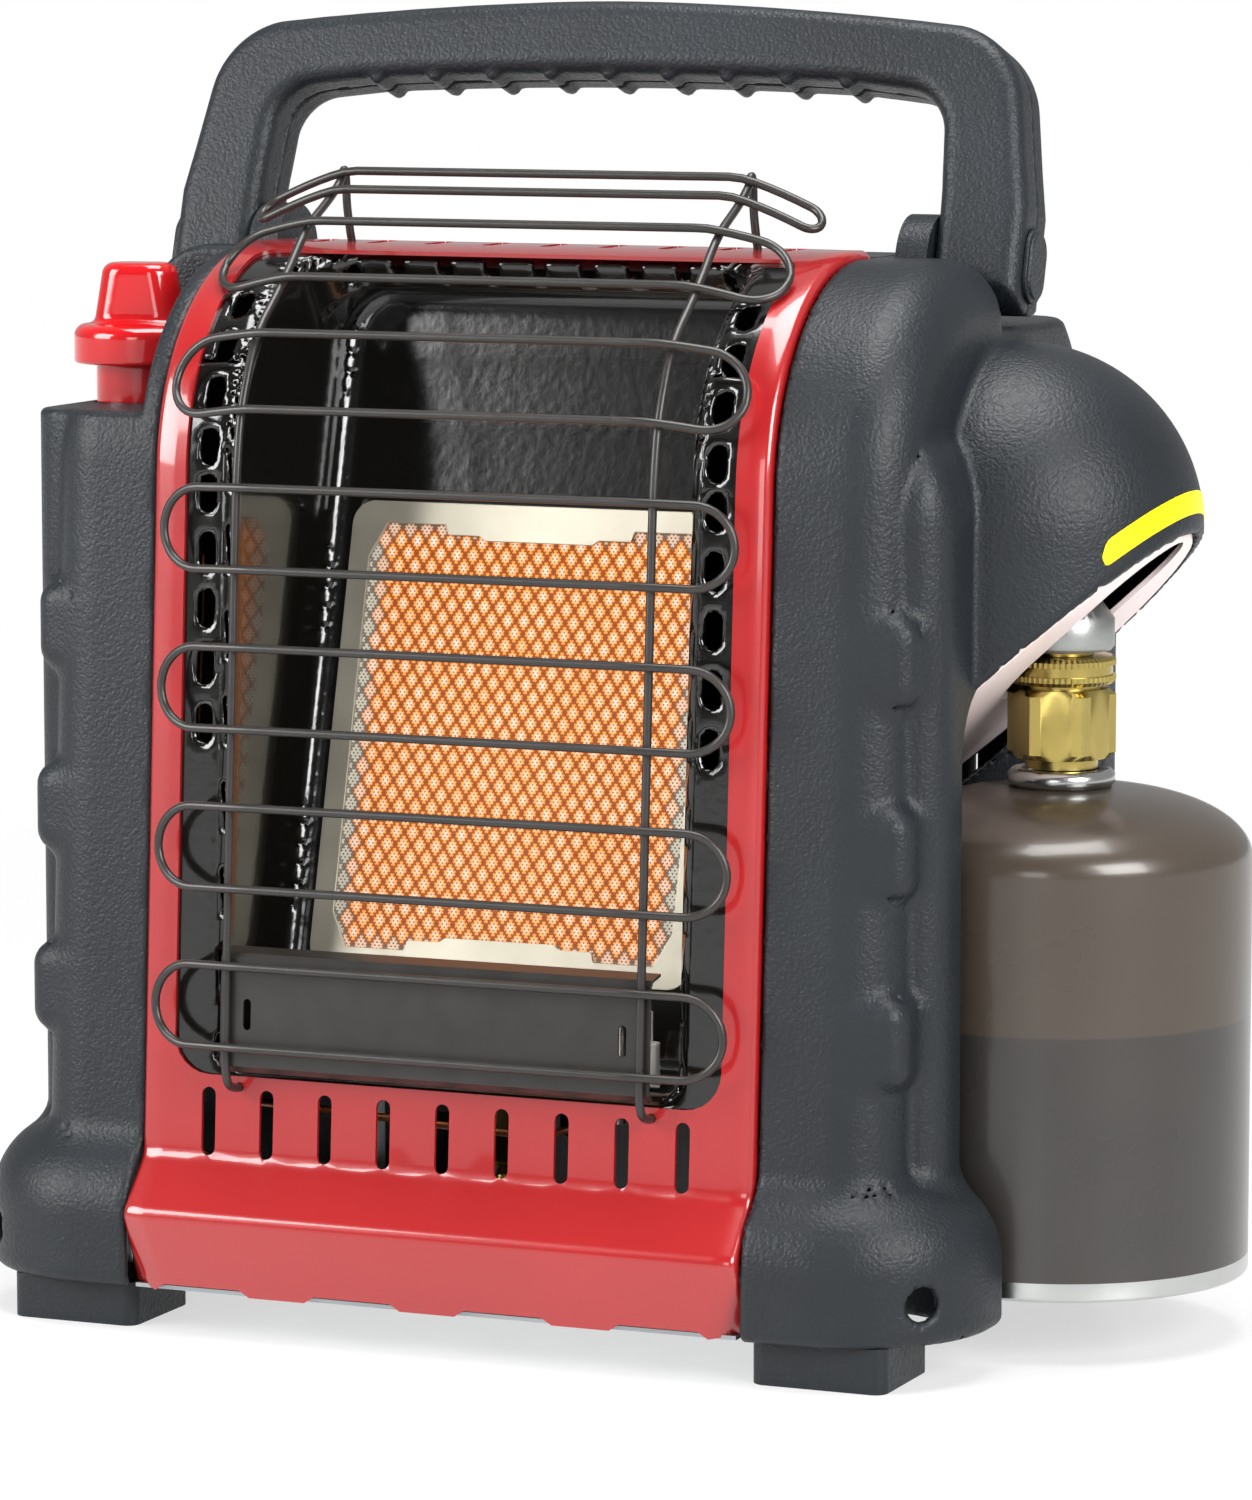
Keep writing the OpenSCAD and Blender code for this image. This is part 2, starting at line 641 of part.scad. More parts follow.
mix_n = back_n + 16;               // the mixer's axis behind the burner's face
module mixer_tube() {
  color("silver") on_burner() translate([0, mix_n, 0]) {
    rotate_extrude($fn = 32) polygon([[7.5, -2], [11, -2], [11, -3.4], [8.7, -3.4], [7.6, -30], [8.7, -44],
                                      [13, -52], [12, -52.6], [7.5, -44.4], [6.4, -30], [7.4, -8]]);
    for (s = [-1, 1]) translate([s * 9 - 4, -1.5, -61]) cube([8, 3, 3]);
    for (s = [-1, 1]) translate([s * 12 - 1, -1.5, -61]) cube([2, 3, 9.4]);
    difference() {
      translate([0, 0, -61]) cylinder(r = 7.4, h = 3, $fn = 32);
      translate([0, 0, -62]) cylinder(r = 3.6, h = 6, $fn = 24);
    }
  }
}
module gas_jet() {
  color("goldenrod") on_burner() translate([0, mix_n, 0]) {
    translate([0, 0, -68]) cylinder(r = 5.4, h = 7, $fn = 6);
    translate([0, 0, -61]) cylinder(r = 3.55, h = 6, $fn = 24);
    translate([0, 0, -55]) cylinder(r1 = 3, r2 = 1.4, h = 6, $fn = 24);
  }
}

// ---------- gas train ----------

module gas_valve() {
  color("goldenrod") translate([-knob_x, knob_y, 0]) difference() {
    union() {
      translate([0, 0, valve_top - 36]) cylinder(r = 12.5, h = 36, $fn = 32);
      for (s = [-1, 1]) {
        translate([-5, s * 18 - 5, valve_top - 4]) cube([10, 10, 4]);
        translate([0, s * 20, valve_top - 4]) cylinder(r = 3, h = ledge_z - moulding_t - valve_top + 4, $fn = 16);
      }
      translate([0, 0, tube_z]) rotate([-90, 0, 0]) cylinder(r = 6, h = 17, $fn = 24);
      translate([0, 0, valve_top - 44]) cylinder(r = 6, h = 10, $fn = 24);
    }
    translate([0, 0, valve_top - 26]) cylinder(r = stem_r + play, h = 40, $fn = 32);
  }
}
module jet_tube() {
  e = bl(mix_n, -68);
  d = [0, sin(burner_lean), cos(burner_lean)];
  p = [0, e[0], e[1]];
  color("goldenrod") tube([
    [-knob_x, knob_y, valve_top - 44], [-knob_x, knob_y, valve_top - 50], [-knob_x + 2, knob_y, 70],
    [-knob_x + 8, knob_y - 2, 52], [-knob_x + 22, knob_y - 8, 40], [-60, 54, 26], [-18, 38, 20],
    p - 9 * d + [-6, 0, 0], p - 5 * d, p], 2, 8, false, [0.2, 1, 0.1]);
}
module pilot_tube() {
  color("goldenrod") tube([
    [-knob_x + 12.4, knob_y, valve_top - 30], [-knob_x + 20, knob_y, valve_top - 32],
    [-knob_x + 24, knob_y - 8, valve_top - 44], [-knob_x + 24, 46, 120], [-knob_x + 26, 40, 70],
    [-84, 34, 62], [-20, 30, 60], [22, 22, 60], [33, 20, 64], [34, 20, 70], [34, 20, 72.6]], 1.2, 6, false, [0.1, 1, 0.2]);
}
module supply_tube() {
  o = [dome_x, can_y, tube_z];
  d = [cos(hole_dir), sin(hole_dir), 0];
  color("goldenrod") tube([
    [can_x, can_y + 26.2, swing_z], [can_x, can_y + 32, swing_z], [can_x - 6, can_y + 38, swing_z - 4],
    o + 44 * d, o + 50 * d, o + 64 * d, [70, 152, tube_z], [-80, 152, tube_z], [-knob_x + 8, 146, tube_z],
    [-knob_x, 136, tube_z], [-knob_x, knob_y + 22, tube_z], [-knob_x, knob_y + 17, tube_z]], 3, 8, false, [0.05, 0.1, 1]);
}
module pilot_burner() {
  color("silver") difference() {
    union() {
      translate([22, 12.5, box_z]) cube([40, 15, 1.2]);
      translate([34, 20, box_z - 5.4]) cylinder(r = 4, h = 16, $fn = 24);
      translate([30, 16, box_z + 10]) cube([8, 9, 4]);
    }
    translate([46, 20, box_z - 5]) cylinder(r = 2.4, h = 20, $fn = 16);
    translate([56, 20, box_z - 5]) cylinder(r = 2.9, h = 20, $fn = 16);
    translate([34, 20, box_z - 8]) cylinder(r = 1.8, h = 14, $fn = 16);
  }
}
module thermocouple() {
  color("goldenrod") translate([46, 20, 0]) {
    translate([0, 0, box_z - 12]) cylinder(r = 2.3, h = 30, $fn = 16);
    translate([0, 0, box_z - 4]) cylinder(r = 3.6, h = 4, $fn = 6);
  }
}
module spark_electrode() {
  color("ivory") translate([56, 20, 0]) {
    translate([0, 0, box_z - 14]) cylinder(r = 2.8, h = 26, $fn = 16);
    translate([0, 0, box_z - 5]) cylinder(r = 3.6, h = 5, $fn = 16);
    translate([0, 0, box_z + 12]) cylinder(r = 0.8, h = 9, $fn = 16);
  }
}
module piezo_igniter() {
  color("black") translate([-knob_x - 3, knob_y + 42, ledge_z - moulding_t - 20]) {
    translate([-8, -9, 4]) cube([16, 18, 16]);
    cylinder(r = 5, h = 5, $fn = 24);
  }
}
module tip_switch() {
  color("dimgray") translate([33 - panel_hw, 128, foot_h + sheet_t]) {
    cylinder(r = 11, h = 22, $fn = 32);
    translate([-8, -8, 21]) cube([16, 16, 7]);
  }
}
shield_y = 121;
module heat_shield() {
  color("silver") difference() {
    ribbon([[shield_y, foot_h + sheet_t], [shield_y, top_z - 30], [shield_y - 18, top_z - 12]], 0, 0.8,
           -box_hw - 12, box_hw + 12);
    for (x = [-60:24:60]) translate([x, shield_y + 10, 60]) rotate([90, 0, 0]) linear_extrude(20) stadium(8, 40);
    translate([33 - panel_hw, shield_y + 5, 0]) cylinder(r = 13, h = 50, $fn = 32);
  }
}

// ---------- guard ----------

function turn(u, g) = lean + max(0, u - straight) / (roll_r + g) * 180 / PI;
// Each hoop: its middle in Y and Z, its plane's slope from the upright, its height, and how far
// its ends are bent back and down.
hoops = concat(
  [for (i = [0:hoop_n - 1])
    let (u = hoop_u + i * hoop_pitch, last = i == hoop_n - 1, g = guard_gap - (last ? 1 : 0))
    [surf(u, g), turn(u, g), hoop_h, last ? 6 : 5, last ? 1.5 : 0.5]],
  [[roll_c + (roll_r + guard_gap - 2) * [cos(120), sin(120)], 46, hoop_h - 1.3, 7.6, 1.4],
   [roll_c + (roll_r + guard_gap + 7) * [cos(96.5), sin(96.5)], 56, 9, 9, 5.3]]);
bend_x = upright_x - 4;            // the ends are bent from here outwards
// Point on a hoop at x, s along its slope from its middle and g behind its wire.
function hoop_pt(h, x, s, g = 0) =
  let (t = pow(max(0, abs(x) - bend_x) / (hoop_hw - bend_x), 1.3),
       d = [sin(h[1]), cos(h[1])], n = [-cos(h[1]), sin(h[1])],
       p = h[0] + d * (s - h[4] * t) - n * (h[3] * t + g))
  [x, p[0], p[1]];
module hoop(h) {
  r = h[2] / 2;
  c = hoop_hw - r;
  xs = [-c, -(c + bend_x) / 2, -bend_x, bend_x, (c + bend_x) / 2, c];
  tube(concat([for (x = xs) hoop_pt(h, x, r)],
              [for (a = [72:-18:-72]) hoop_pt(h, c + r * cos(a), r * sin(a))],
              [for (x = reversed(xs)) hoop_pt(h, x, -r)],
              [for (a = [-72:18:72]) hoop_pt(h, -c - r * cos(a), r * sin(a))]),
       wire_d / 2, 8, true, [0.01, -0.6, 0.8]);
}
up_in = 0.85 * wire_d;             // the uprights lie this far behind the hoops' wire
module upright(x) {
  last = hoops[len(hoops) - 1];
  rear = hoop_pt(last, x, last[2] / 2, up_in);
  tube(concat([[x, face_front(hook_z) + sheet_t - 0.3, hook_z], [x, -1, hook_z], [x, -5.4, hook_z + 1.4],
               [x, -7.4, hook_z + 5]],
              [for (h = hoops) for (e = [-1, 1]) hoop_pt(h, x, e * h[2] / 2, up_in)],
              [rear + [0, 0.9, 2.3], rear + [0, 2, 2.9], rear + [0, 3, 1], [x, leg_y - 3.6, top_z + 11],
               [x, leg_y - 1.4, top_z + 3], [x, leg_y, top_z - 0.5], [x, leg_y, top_z - 4]]),
       wire_d / 2, 8, false, [1, 0.02, 0.01]);
}
module wire_guard() {
  color("black") {
    for (h = hoops) hoop(h);
    for (s = [-1, 1]) upright(s * upright_x);
  }
}
// the plate's front touches the backs of the uprights
plate_g = guard_gap - up_in - wire_d / 2 - hoops[0][3] * pow((upright_x - bend_x) / (hoop_hw - bend_x), 1.3) - 0.05;
module guard_plate() {
  color("black") difference() {
    ribbon([surf(62, plate_g - 7), surf(60.5, plate_g - 1), surf(59, plate_g), surf(28, plate_g), surf(26, plate_g - 3)],
           -0.9, 0, -upright_x - 2.4, upright_x + 2.4);
    // stamped slots at the ends
    for (s = [-1, 1]) at_plate(s * (upright_x - 6)) stadium(2.4, 9);
  }
}
module at_plate(x) {
  p = surf(43, 0);
  translate([x, p[0], p[1]]) rotate([90 - lean, 0, 0]) linear_extrude(40, center = true) children();
}

// ---------- dome ----------

module dome_plate() {
  color("mistyrose") difference() {
    intersection() {
      dome(-dome_t - fit);
      above_plate(0);
    }
    above_plate(1.6);
    slot_hw = 17;
    for (x = [can_x:6:can_x + 18]) translate([x, can_y, plate_z - 40]) cylinder(r = 17, h = 120, $fn = 32);
    translate([can_x, can_y - 17, plate_z - 40]) cube([18, 34, 120]);
  }
}

module regulator_bracket() {
  color("darkgray") difference() {
    intersection() {
      translate([dome_x, can_y, dome_z]) sphere(dome_r - dome_t - fit, $fn = 48);
      union() {
        for (s = [-1, 1]) translate([can_x - 11, can_y + s * 24 - 1.5, swing_z - 9]) cube([22, 3, 60]);
        translate([can_x - 11, can_y - 25.5, swing_z + 17]) cube([22, 51, 3]);
      }
    }
    translate([can_x, can_y + 40, swing_z]) rotate([90, 0, 0]) cylinder(r = 4 + play, h = 80, $fn = 32);
  }
}

// ---------- handle ----------

function inset(path, t) =
  let (n = len(path))
  [for (i = [0:n - 1])
    let (a = normal2(path[(i + n - 1) % n], path[i]), b = normal2(path[i], path[(i + 1) % n]), m = (a + b) / 2)
    path[i] - m * t / max(m * m, 0.3)];
foot_l = 14.4;                     // arm's rounded foot below the pivot
arm_out = arm_x + 26.5;
grip_t = 22.2;
arm_taper = 5;
corner_r = 26.3;
// Pairs of outer and inner points up the arm, round the corner and along the grip.
outer_half = concat([[arm_out, -foot_l - 2], [arm_out, 16], [arm_out - arm_taper / 2, 30]],
  arc([arm_out - arm_taper - corner_r, handle_h - grip_crown - corner_r], corner_r, 8, 82, 6),
  [[40, handle_h - 0.16 * grip_crown], [10, handle_h]]);
inner_half = concat([[arm_x, -foot_l - 2], [arm_x, 12], [arm_x - 0.3, 20]],
  arc([arm_x - 0.3 * arm_taper - 14, under_grip(arm_x) - 14], 14, 8, 84, 6),
  [[40, under_grip(40)], [10, under_grip(0)]]);
// Height of the grip's underside at x, along the arms: the crown's curve is a parabola.
function under_grip(x) = handle_h - grip_t - 0.6 * grip_crown * pow(x / arm_x, 2);
// [distance in from the edge, distance behind the seam] round half of the section
ht = handle_t / 2;
section = [[0, 0], [0, ht - 5], [1.4, ht - 1.8], [4.6, ht]];

module on_handle() {
  translate([0, pivot_y, pivot_z]) rotate([-handle_lean, 0, 0]) children();
}
// One half of the handle; s is -1 for the front half and 1 for the rear half.
module handle_half(s) {
  n = len(outer_half);
  function ring(o, i, sx) =
    let (d = (i - o) / norm(i - o), w = norm(i - o))
    [for (p = concat(section, [for (q = reversed(section)) [w - q[0], q[1]]]))
      let (v = o + d * p[0]) [sx * v[0], s * p[1], v[1]]];
  rings = concat([for (k = [0:n - 1]) ring(outer_half[k], inner_half[k], 1)],
                 [for (k = [n - 1:-1:0]) ring(outer_half[k], inner_half[k], -1)]);
  loft(s < 0 ? rings : reversed(rings));
}
module handle_foot() {
  // side outline that rounds the arm's foot
  rotate([90, 0, 90]) linear_extrude(400, center = true) {
    circle(foot_l, $fn = 40);
    translate([-foot_l, 0]) square([2 * foot_l, 200]);
  }
}
module ribs(y0, y1) {
  for (i = [0:rib_n - 1]) let (x = (i - (rib_n - 1) / 2) * 18.8) translate([x, y0, under_grip(x) + 0.3])
    rotate([-90, 0, 0]) cylinder(r = 2.3, h = y1 - y0, $fn = 16);
}
module screw_spots() {
  for (x = [-118, -60, 0, 60, 118]) translate([x, 0, abs(x) > 100 ? 36 : handle_h - grip_t / 2 + 0.5]) children();
}
module handle_front() {
  color("darkslategray") on_handle() difference() {
    union() {
      intersection() {
        handle_half(-1);
        handle_foot();
      }
      ribs(-ht + 2.5, 0);
    }
    for (e = [-1, 1]) translate([e * (arm_x + 16), 0, 0]) rotate([0, 90, 0]) rotate(45)
      cylinder(r = pin_r, h = 50, center = true, $fn = 32);
    screw_spots() rotate([90, 0, 0]) cylinder(r = 1.6, h = 6, $fn = 16);
  }
}
module handle_rear() {
  color("darkslategray") on_handle() difference() {
    union() {
      intersection() {
        handle_half(1);
        handle_foot();
      }
      ribs(0, ht - 2.5);
    }
    for (e = [-1, 1]) translate([e * (arm_x + 16), 0, 0]) rotate([0, 90, 0]) rotate(45)
      cylinder(r = pin_r, h = 50, center = true, $fn = 32);
    screw_spots() rotate([-90, 0, 0]) {
      cylinder(r = 1.6, h = 30, $fn = 16);
      translate([0, 0, ht - 5]) cylinder(r = 3.4, h = 10, $fn = 16);
    }
  }
}
module handle_screws() {
  color("silver") on_handle() screw_spots() translate([0, ht - 5, 0]) rotate([-90, 0, 0]) screw(1.6, ht - 0.5, 3.2, 2.2);
}
module handle_pins() {
  color("silver") for (s = [0, 1]) mirror([s, 0, 0]) translate([lug_x + 0.2, pivot_y, pivot_z])
    rotate([0, 90, 0]) cylinder(r = pin_r, h = lug_t + 18, $fn = 32);
}
module handle_caps() {
  color("darkslategray") on_handle() for (s = [0, 1]) mirror([s, 0, 0]) translate([arm_out, 0, 0])
    rotate([90, 0, 90]) {
      linear_extrude(1.4) stadium(15, 22);
      translate([0, 0, 1.4]) linear_extrude(0.9) stadium(12.4, 19.4);
    }
}
module lug() {
  difference() {
    union() {
      translate([lug_x, pivot_y, pivot_z]) rotate([0, 90, 0]) cylinder(r = lug_r, h = lug_t, $fn = 40);
      translate([lug_x, pivot_y - lug_r, pocket_z]) cube([lug_t, 2 * lug_r, pivot_z - pocket_z]);
      translate([lug_x, pivot_y - lug_r, pocket_z]) cube([lug_t, 2 * lug_r + 16, 3]);
    }
    translate([lug_x - 5, pivot_y, pivot_z]) rotate([0, 90, 0]) cylinder(r = pin_r + play, h = 30, $fn = 32);
    lug_spots() translate([0, 0, -10]) cylinder(r = 1.6, h = 30, $fn = 16);
  }
}
module lug_spots() {
  for (y = [5, 11.5]) translate([lug_x + lug_t / 2, pivot_y + lug_r + y, pocket_z + 3]) children();
}
module left_handle_lug() { color("darkslategray") mirror([1, 0, 0]) lug(); }
module right_handle_lug() { color("darkslategray") lug(); }
module lug_screws() {
  color("silver") for (s = [0, 1]) mirror([s, 0, 0]) lug_spots() screw(1.55, 3, 2.9, 1.8);
}

// ---------- knob ----------

knob_z = ledge_z - 2;
grip_z = ledge_z + 23;
module on_knob() { translate([-knob_x, knob_y, 0]) children(); }
module valve_stem() {
  color("silver") on_knob() translate([0, 0, valve_top - 25]) cylinder(r = stem_r, h = ledge_z + 16 - valve_top + 25, $fn = 32);
}
module control_knob() {
  color("crimson") on_knob() difference() {
    union() {
      rotate_extrude($fn = 48) polygon([[0, knob_z], [knob_low_r, knob_z], [knob_low_r, ledge_z + 11],
        [knob_r, ledge_z + 11], [knob_r, ledge_z + 20], [knob_r - 3, grip_z], [0, grip_z]]);
      translate([0, 0, grip_z - 1]) linear_extrude(17) rotate(100) stadium(15, 27.5);
      translate([0, 0, grip_z + 15.9]) linear_extrude(1.6) rotate(100) stadium(12.4, 25);
    }
    translate([0, 0, knob_z - 1]) cylinder(r = stem_r + play, h = ledge_z + 17 + knob_travel - knob_z, $fn = 32);
    translate([0, 0, knob_z - 1]) cylinder(r = 10, h = 9, $fn = 32);
  }
}
module knob_spring() {
  n = 40;
  low = valve_top + 0.6;
  high = knob_z + 8 - 0.6;
  color("silver") on_knob() tube([for (i = [0:n])
    [7 * cos(i * 45), 7 * sin(i * 45), low + (high - low) * i / n]], 0.6, 6, false, [0.01, 0.02, 1]);
}

// ---------- regulator and canister ----------

module on_can() { translate([can_x, can_y, 0]) children(); }
can_top = can_z + can_side;        // where the shoulder starts
neck_z = can_top + 20;             // underside of the neck's collar
nut_z = neck_z + 8.2;
ring_z = nut_z + 21.4;
stud_z = ring_z + 8;
neck_top = stud_z + 1.6;
module regulator() {
  color("lightslategray") on_can() difference() {
    union() {
      rotate_extrude($fn = 40) polygon([[0, neck_top], [14, neck_top], [15, neck_top + 1.2], [15, neck_top + 9],
        [10.5, neck_top + 15], [10.5, swing_z - 12], [18, swing_z - 9], [20, swing_z - 6], [20, swing_z + 7],
        [17, swing_z + 10], [0, swing_z + 10]]);
      translate([0, 25.2, swing_z]) rotate([90, 0, 0]) cylinder(r = 4, h = 50.4, $fn = 32);
    }
    translate([0, 0, neck_top - 1]) cylinder(r = 6, h = 20, $fn = 24);
  }
}
module adapter_stud() {
  color("goldenrod") on_can() rotate_extrude($fn = 32) polygon([[2, nut_z + 14], [5.9, nut_z + 14], [5.9, stud_z], [9, stud_z],
    [9, neck_top], [5.9, neck_top], [5.9, neck_top + 12], [2, neck_top + 12]]);
}
module adapter_collar() {
  color("goldenrod") on_can() difference() {
    rotate_extrude($fn = 60) polygon([[6, ring_z], [14.4, ring_z], [15.5, ring_z + 1.1], [15.5, ring_z + 6.9],
      [14.4, ring_z + 8], [6, ring_z + 8]]);
    translate([0, 0, ring_z + 2.6]) difference() {
      cylinder(r = 17, h = 2.8, $fn = 60);
      cylinder(r = 14.6, h = 2.8, $fn = 60);
    }
  }
}
module adapter_nut() {
  color("goldenrod") on_can() rotate(13) difference() {
    union() {
      translate([0, 0, nut_z]) cylinder(r = 15.7, h = 20, $fn = 6);
      translate([0, 0, nut_z + 20]) cylinder(r = 11, h = 1.4, $fn = 32);
      translate([0, 0, neck_z + 5.3]) cylinder(r = 10.5, h = nut_z - neck_z - 5.2, $fn = 32);
    }
    translate([0, 0, neck_z]) cylinder(r = 5.6, h = nut_z + 13.9 - neck_z, $fn = 32);
    translate([0, 0, nut_z + 13.8]) cylinder(r = 6, h = 20, $fn = 32);
  }
}
shoulder = [for (a = [0, 12, 26, 42, 58, 72, 80]) [can_r - 41 + 41 * cos(a), can_top + 19.6 * sin(a)]];
module canister() {
  color("dimgray") on_can() rotate_extrude($fn = 72) polygon(concat(
    [[0, can_z + 9], [can_r - 12, can_z + 6], [can_r - 4, can_z + 5.5], [can_r, can_z + 5.5], [can_r, can_top]],
    shoulder, [[13.5, neck_z], [0, neck_z]]));
}
module canister_rim() {
  color("silver") on_can() rotate_extrude($fn = 72) polygon([[can_r - 4, can_z], [can_r - 1.2, can_z],
    [can_r, can_z + 1.2], [can_r, can_z + 5.5], [can_r - 4, can_z + 5.5]]);
}
module canister_collar() {
  color("silver") on_can() rotate_extrude($fn = 48) polygon([[5.6, neck_z], [14.5, neck_z], [15.5, neck_z + 1.2],
    [15.5, neck_z + 3.6], [14.2, neck_z + 5], [11, neck_z + 5], [11, neck_z + 3], [5.6, neck_z + 3]]);
}
module canister_valve() {
  color("goldenrod") on_can() rotate_extrude($fn = 32) polygon([[0, neck_z], [5.55, neck_z], [5.55, nut_z + 8],
    [4.6, nut_z + 9], [0, nut_z + 9]]);
}

place() front_panel();
place() left_side_cover();
place() right_side_cover();
place() rear_cover();
place() base_pan();
place() feet();
place() combustion_chamber();
place() burner_frame();
place() burner_tile();
place() burner_plenum();
place() mixer_tube();
place() gas_jet();
place() gas_valve();
place() jet_tube();
place() supply_tube();
place() pilot_tube();
place() pilot_burner();
place() thermocouple();
place() spark_electrode();
place() piezo_igniter();
place() tip_switch();
place() heat_shield();
place() wire_guard();
place() guard_plate();
place() dome_plate();
place() left_handle_lug();
place() right_handle_lug();
place() lug_screws();
place() foot_screws();
place() rear_screws();
place() regulator_bracket();
place() handle_front();
place() handle_rear();
place() handle_pins();
place() handle_caps();
place() handle_screws();
place() valve_stem();
place() control_knob();
place() knob_spring();
place() regulator();
place() adapter_stud();
place() adapter_collar();
place() adapter_nut();
place() canister();
place() canister_rim();
place() canister_collar();
place() canister_valve();
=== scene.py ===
# A portable radiant gas heater that stands on a table or the ground: pressed steel front with a
# glowing ceramic burner, moulded side covers, a wire guard, a folding handle and a gas canister
# that hangs under a domed housing. Lengths in the sections are millimetres in the maker's own
# frame: X to the right of the panel's centre line, Y behind its face, Z above the floor.
import json
import math

import bmesh
import bpy
import numpy as np
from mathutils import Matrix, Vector
from mathutils.geometry import delaunay_2d_cdt


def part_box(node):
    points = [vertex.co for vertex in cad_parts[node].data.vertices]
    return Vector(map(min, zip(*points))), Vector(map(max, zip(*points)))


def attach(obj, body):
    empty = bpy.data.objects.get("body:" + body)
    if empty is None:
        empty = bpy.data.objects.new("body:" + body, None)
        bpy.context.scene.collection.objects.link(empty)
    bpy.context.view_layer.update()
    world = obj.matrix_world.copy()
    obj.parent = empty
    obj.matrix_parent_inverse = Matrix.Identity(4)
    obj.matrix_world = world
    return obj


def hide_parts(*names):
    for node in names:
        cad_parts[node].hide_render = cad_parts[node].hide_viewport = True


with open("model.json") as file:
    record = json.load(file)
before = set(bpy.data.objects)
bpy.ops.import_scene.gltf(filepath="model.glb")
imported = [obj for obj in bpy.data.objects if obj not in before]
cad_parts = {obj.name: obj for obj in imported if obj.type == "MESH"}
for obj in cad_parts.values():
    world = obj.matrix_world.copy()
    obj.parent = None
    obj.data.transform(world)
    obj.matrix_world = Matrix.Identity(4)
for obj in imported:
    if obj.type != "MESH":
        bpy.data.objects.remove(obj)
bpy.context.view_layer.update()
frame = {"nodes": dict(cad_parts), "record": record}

# ---- Camera ----
# A long lens a little to the right of the heater and just above it, as the photograph was taken.
panel_low, panel_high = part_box("front_panel")
LIP_OUT = 13.0
HOME = np.array([(panel_low.x + panel_high.x) / 2, panel_low.y + LIP_OUT / 1000, 0.0])
AZIMUTH, ELEVATION = math.radians(22.98), math.radians(7.19)
LOOK_AT = np.array([31.61, 60.0, 167.42])
DISTANCE = 1883.4
away = np.array([math.sin(AZIMUTH) * math.cos(ELEVATION),
                 -math.cos(AZIMUTH) * math.cos(ELEVATION), math.sin(ELEVATION)])
camera = bpy.data.objects.new("camera", bpy.data.cameras.new("camera"))
camera.data.lens, camera.data.sensor_width = 156.96, 36.0
camera.data.clip_start, camera.data.clip_end = 0.05, 60.0
camera.location = Vector(HOME + (LOOK_AT + DISTANCE * away) / 1000)
camera.rotation_mode = "QUATERNION"
camera.rotation_quaternion = Vector(-away).to_track_quat("-Z", "Y")
bpy.context.collection.objects.link(camera)
bpy.context.scene.camera = camera
bpy.context.scene.view_settings.view_transform = "Standard"

# ---- Studio ----
# A white cyclorama sweep behind and under the heater, a soft box on each side, one above and a
# small one low in front. The room in front of the heater is dimmer than the sweep behind it.
WHITE = (1, 1, 1, 1)


def linear(code):
    """The linear colour of an sRGB hex code: a straight line below 0.04, above it a power of 2.4."""
    srgb = np.array([int(code[i:i + 2], 16) for i in (1, 3, 5)]) / 255
    low, high = srgb / 12.92, ((srgb + 0.055) / 1.055) ** 2.4
    return (*np.where(srgb < 0.04045, low, high).tolist(), 1.0)


def add(tree, kind, inputs=(), **settings):
    """Adds a node; inputs is a dict from socket name or number to a value or another node's output."""
    made = tree.nodes.new(kind)
    for name, value in settings.items():
        setattr(made, name, value)
    for socket, value in dict(inputs).items():
        if isinstance(value, bpy.types.NodeSocket):
            tree.links.new(value, made.inputs[socket])
        else:
            made.inputs[socket].default_value = value
    return made


def sums(kind, *values, clamp=False):
    """One arithmetic node of the tree in hand; the values are numbers or outputs."""
    made = add(tree, "ShaderNodeMath", dict(enumerate(values)), operation=kind, use_clamp=clamp)
    return made.outputs[0]


def span(tree, value, low, high, first=0.0, last=1.0, **how):
    """A value's run from low to high, drawn to the run from first to last and held at its ends."""
    return add(tree, "ShaderNodeMapRange", {"Value": value, "From Min": low, "From Max": high,
                                            "To Min": first, "To Max": last}, **how).outputs[0]


world = bpy.data.worlds.new("studio")
bpy.context.scene.world = world
world.use_nodes = True
tree = world.node_tree
tree.nodes.clear()
rays = add(tree, "ShaderNodeLightPath").outputs
ahead = add(tree, "ShaderNodeTexCoord").outputs["Generated"]
ahead = add(tree, "ShaderNodeSeparateXYZ", {0: ahead}).outputs["Y"]
level = add(tree, "ShaderNodeMix", {
    "Factor": sums("MAXIMUM", rays["Is Camera Ray"], rays["Is Transmission Ray"]),
    "A": span(tree, ahead, -0.5, 0.45, 0.1, 0.42), "B": 1.0})
sky = add(tree, "ShaderNodeBackground", {"Color": WHITE, "Strength": level.outputs[0]})
add(tree, "ShaderNodeOutputWorld", {"Surface": sky.outputs[0]})

floor_mesh = bpy.data.meshes.new("floor")
FLOOR_HALF = 12
corners = np.array([(-1, -1, 0), (1, -1, 0), (1, 1, 0), (-1, 1, 0)]) * FLOOR_HALF
floor_mesh.from_pydata(corners.tolist(), [], [(0, 1, 2, 3)])
floor = bpy.data.objects.new("floor", floor_mesh)
bpy.context.collection.objects.link(floor)
sweep = bpy.data.materials.new("white_acrylic_sweep")
sweep.use_nodes = True
tree = sweep.node_tree
tree.nodes.clear()
rays = add(tree, "ShaderNodeLightPath").outputs
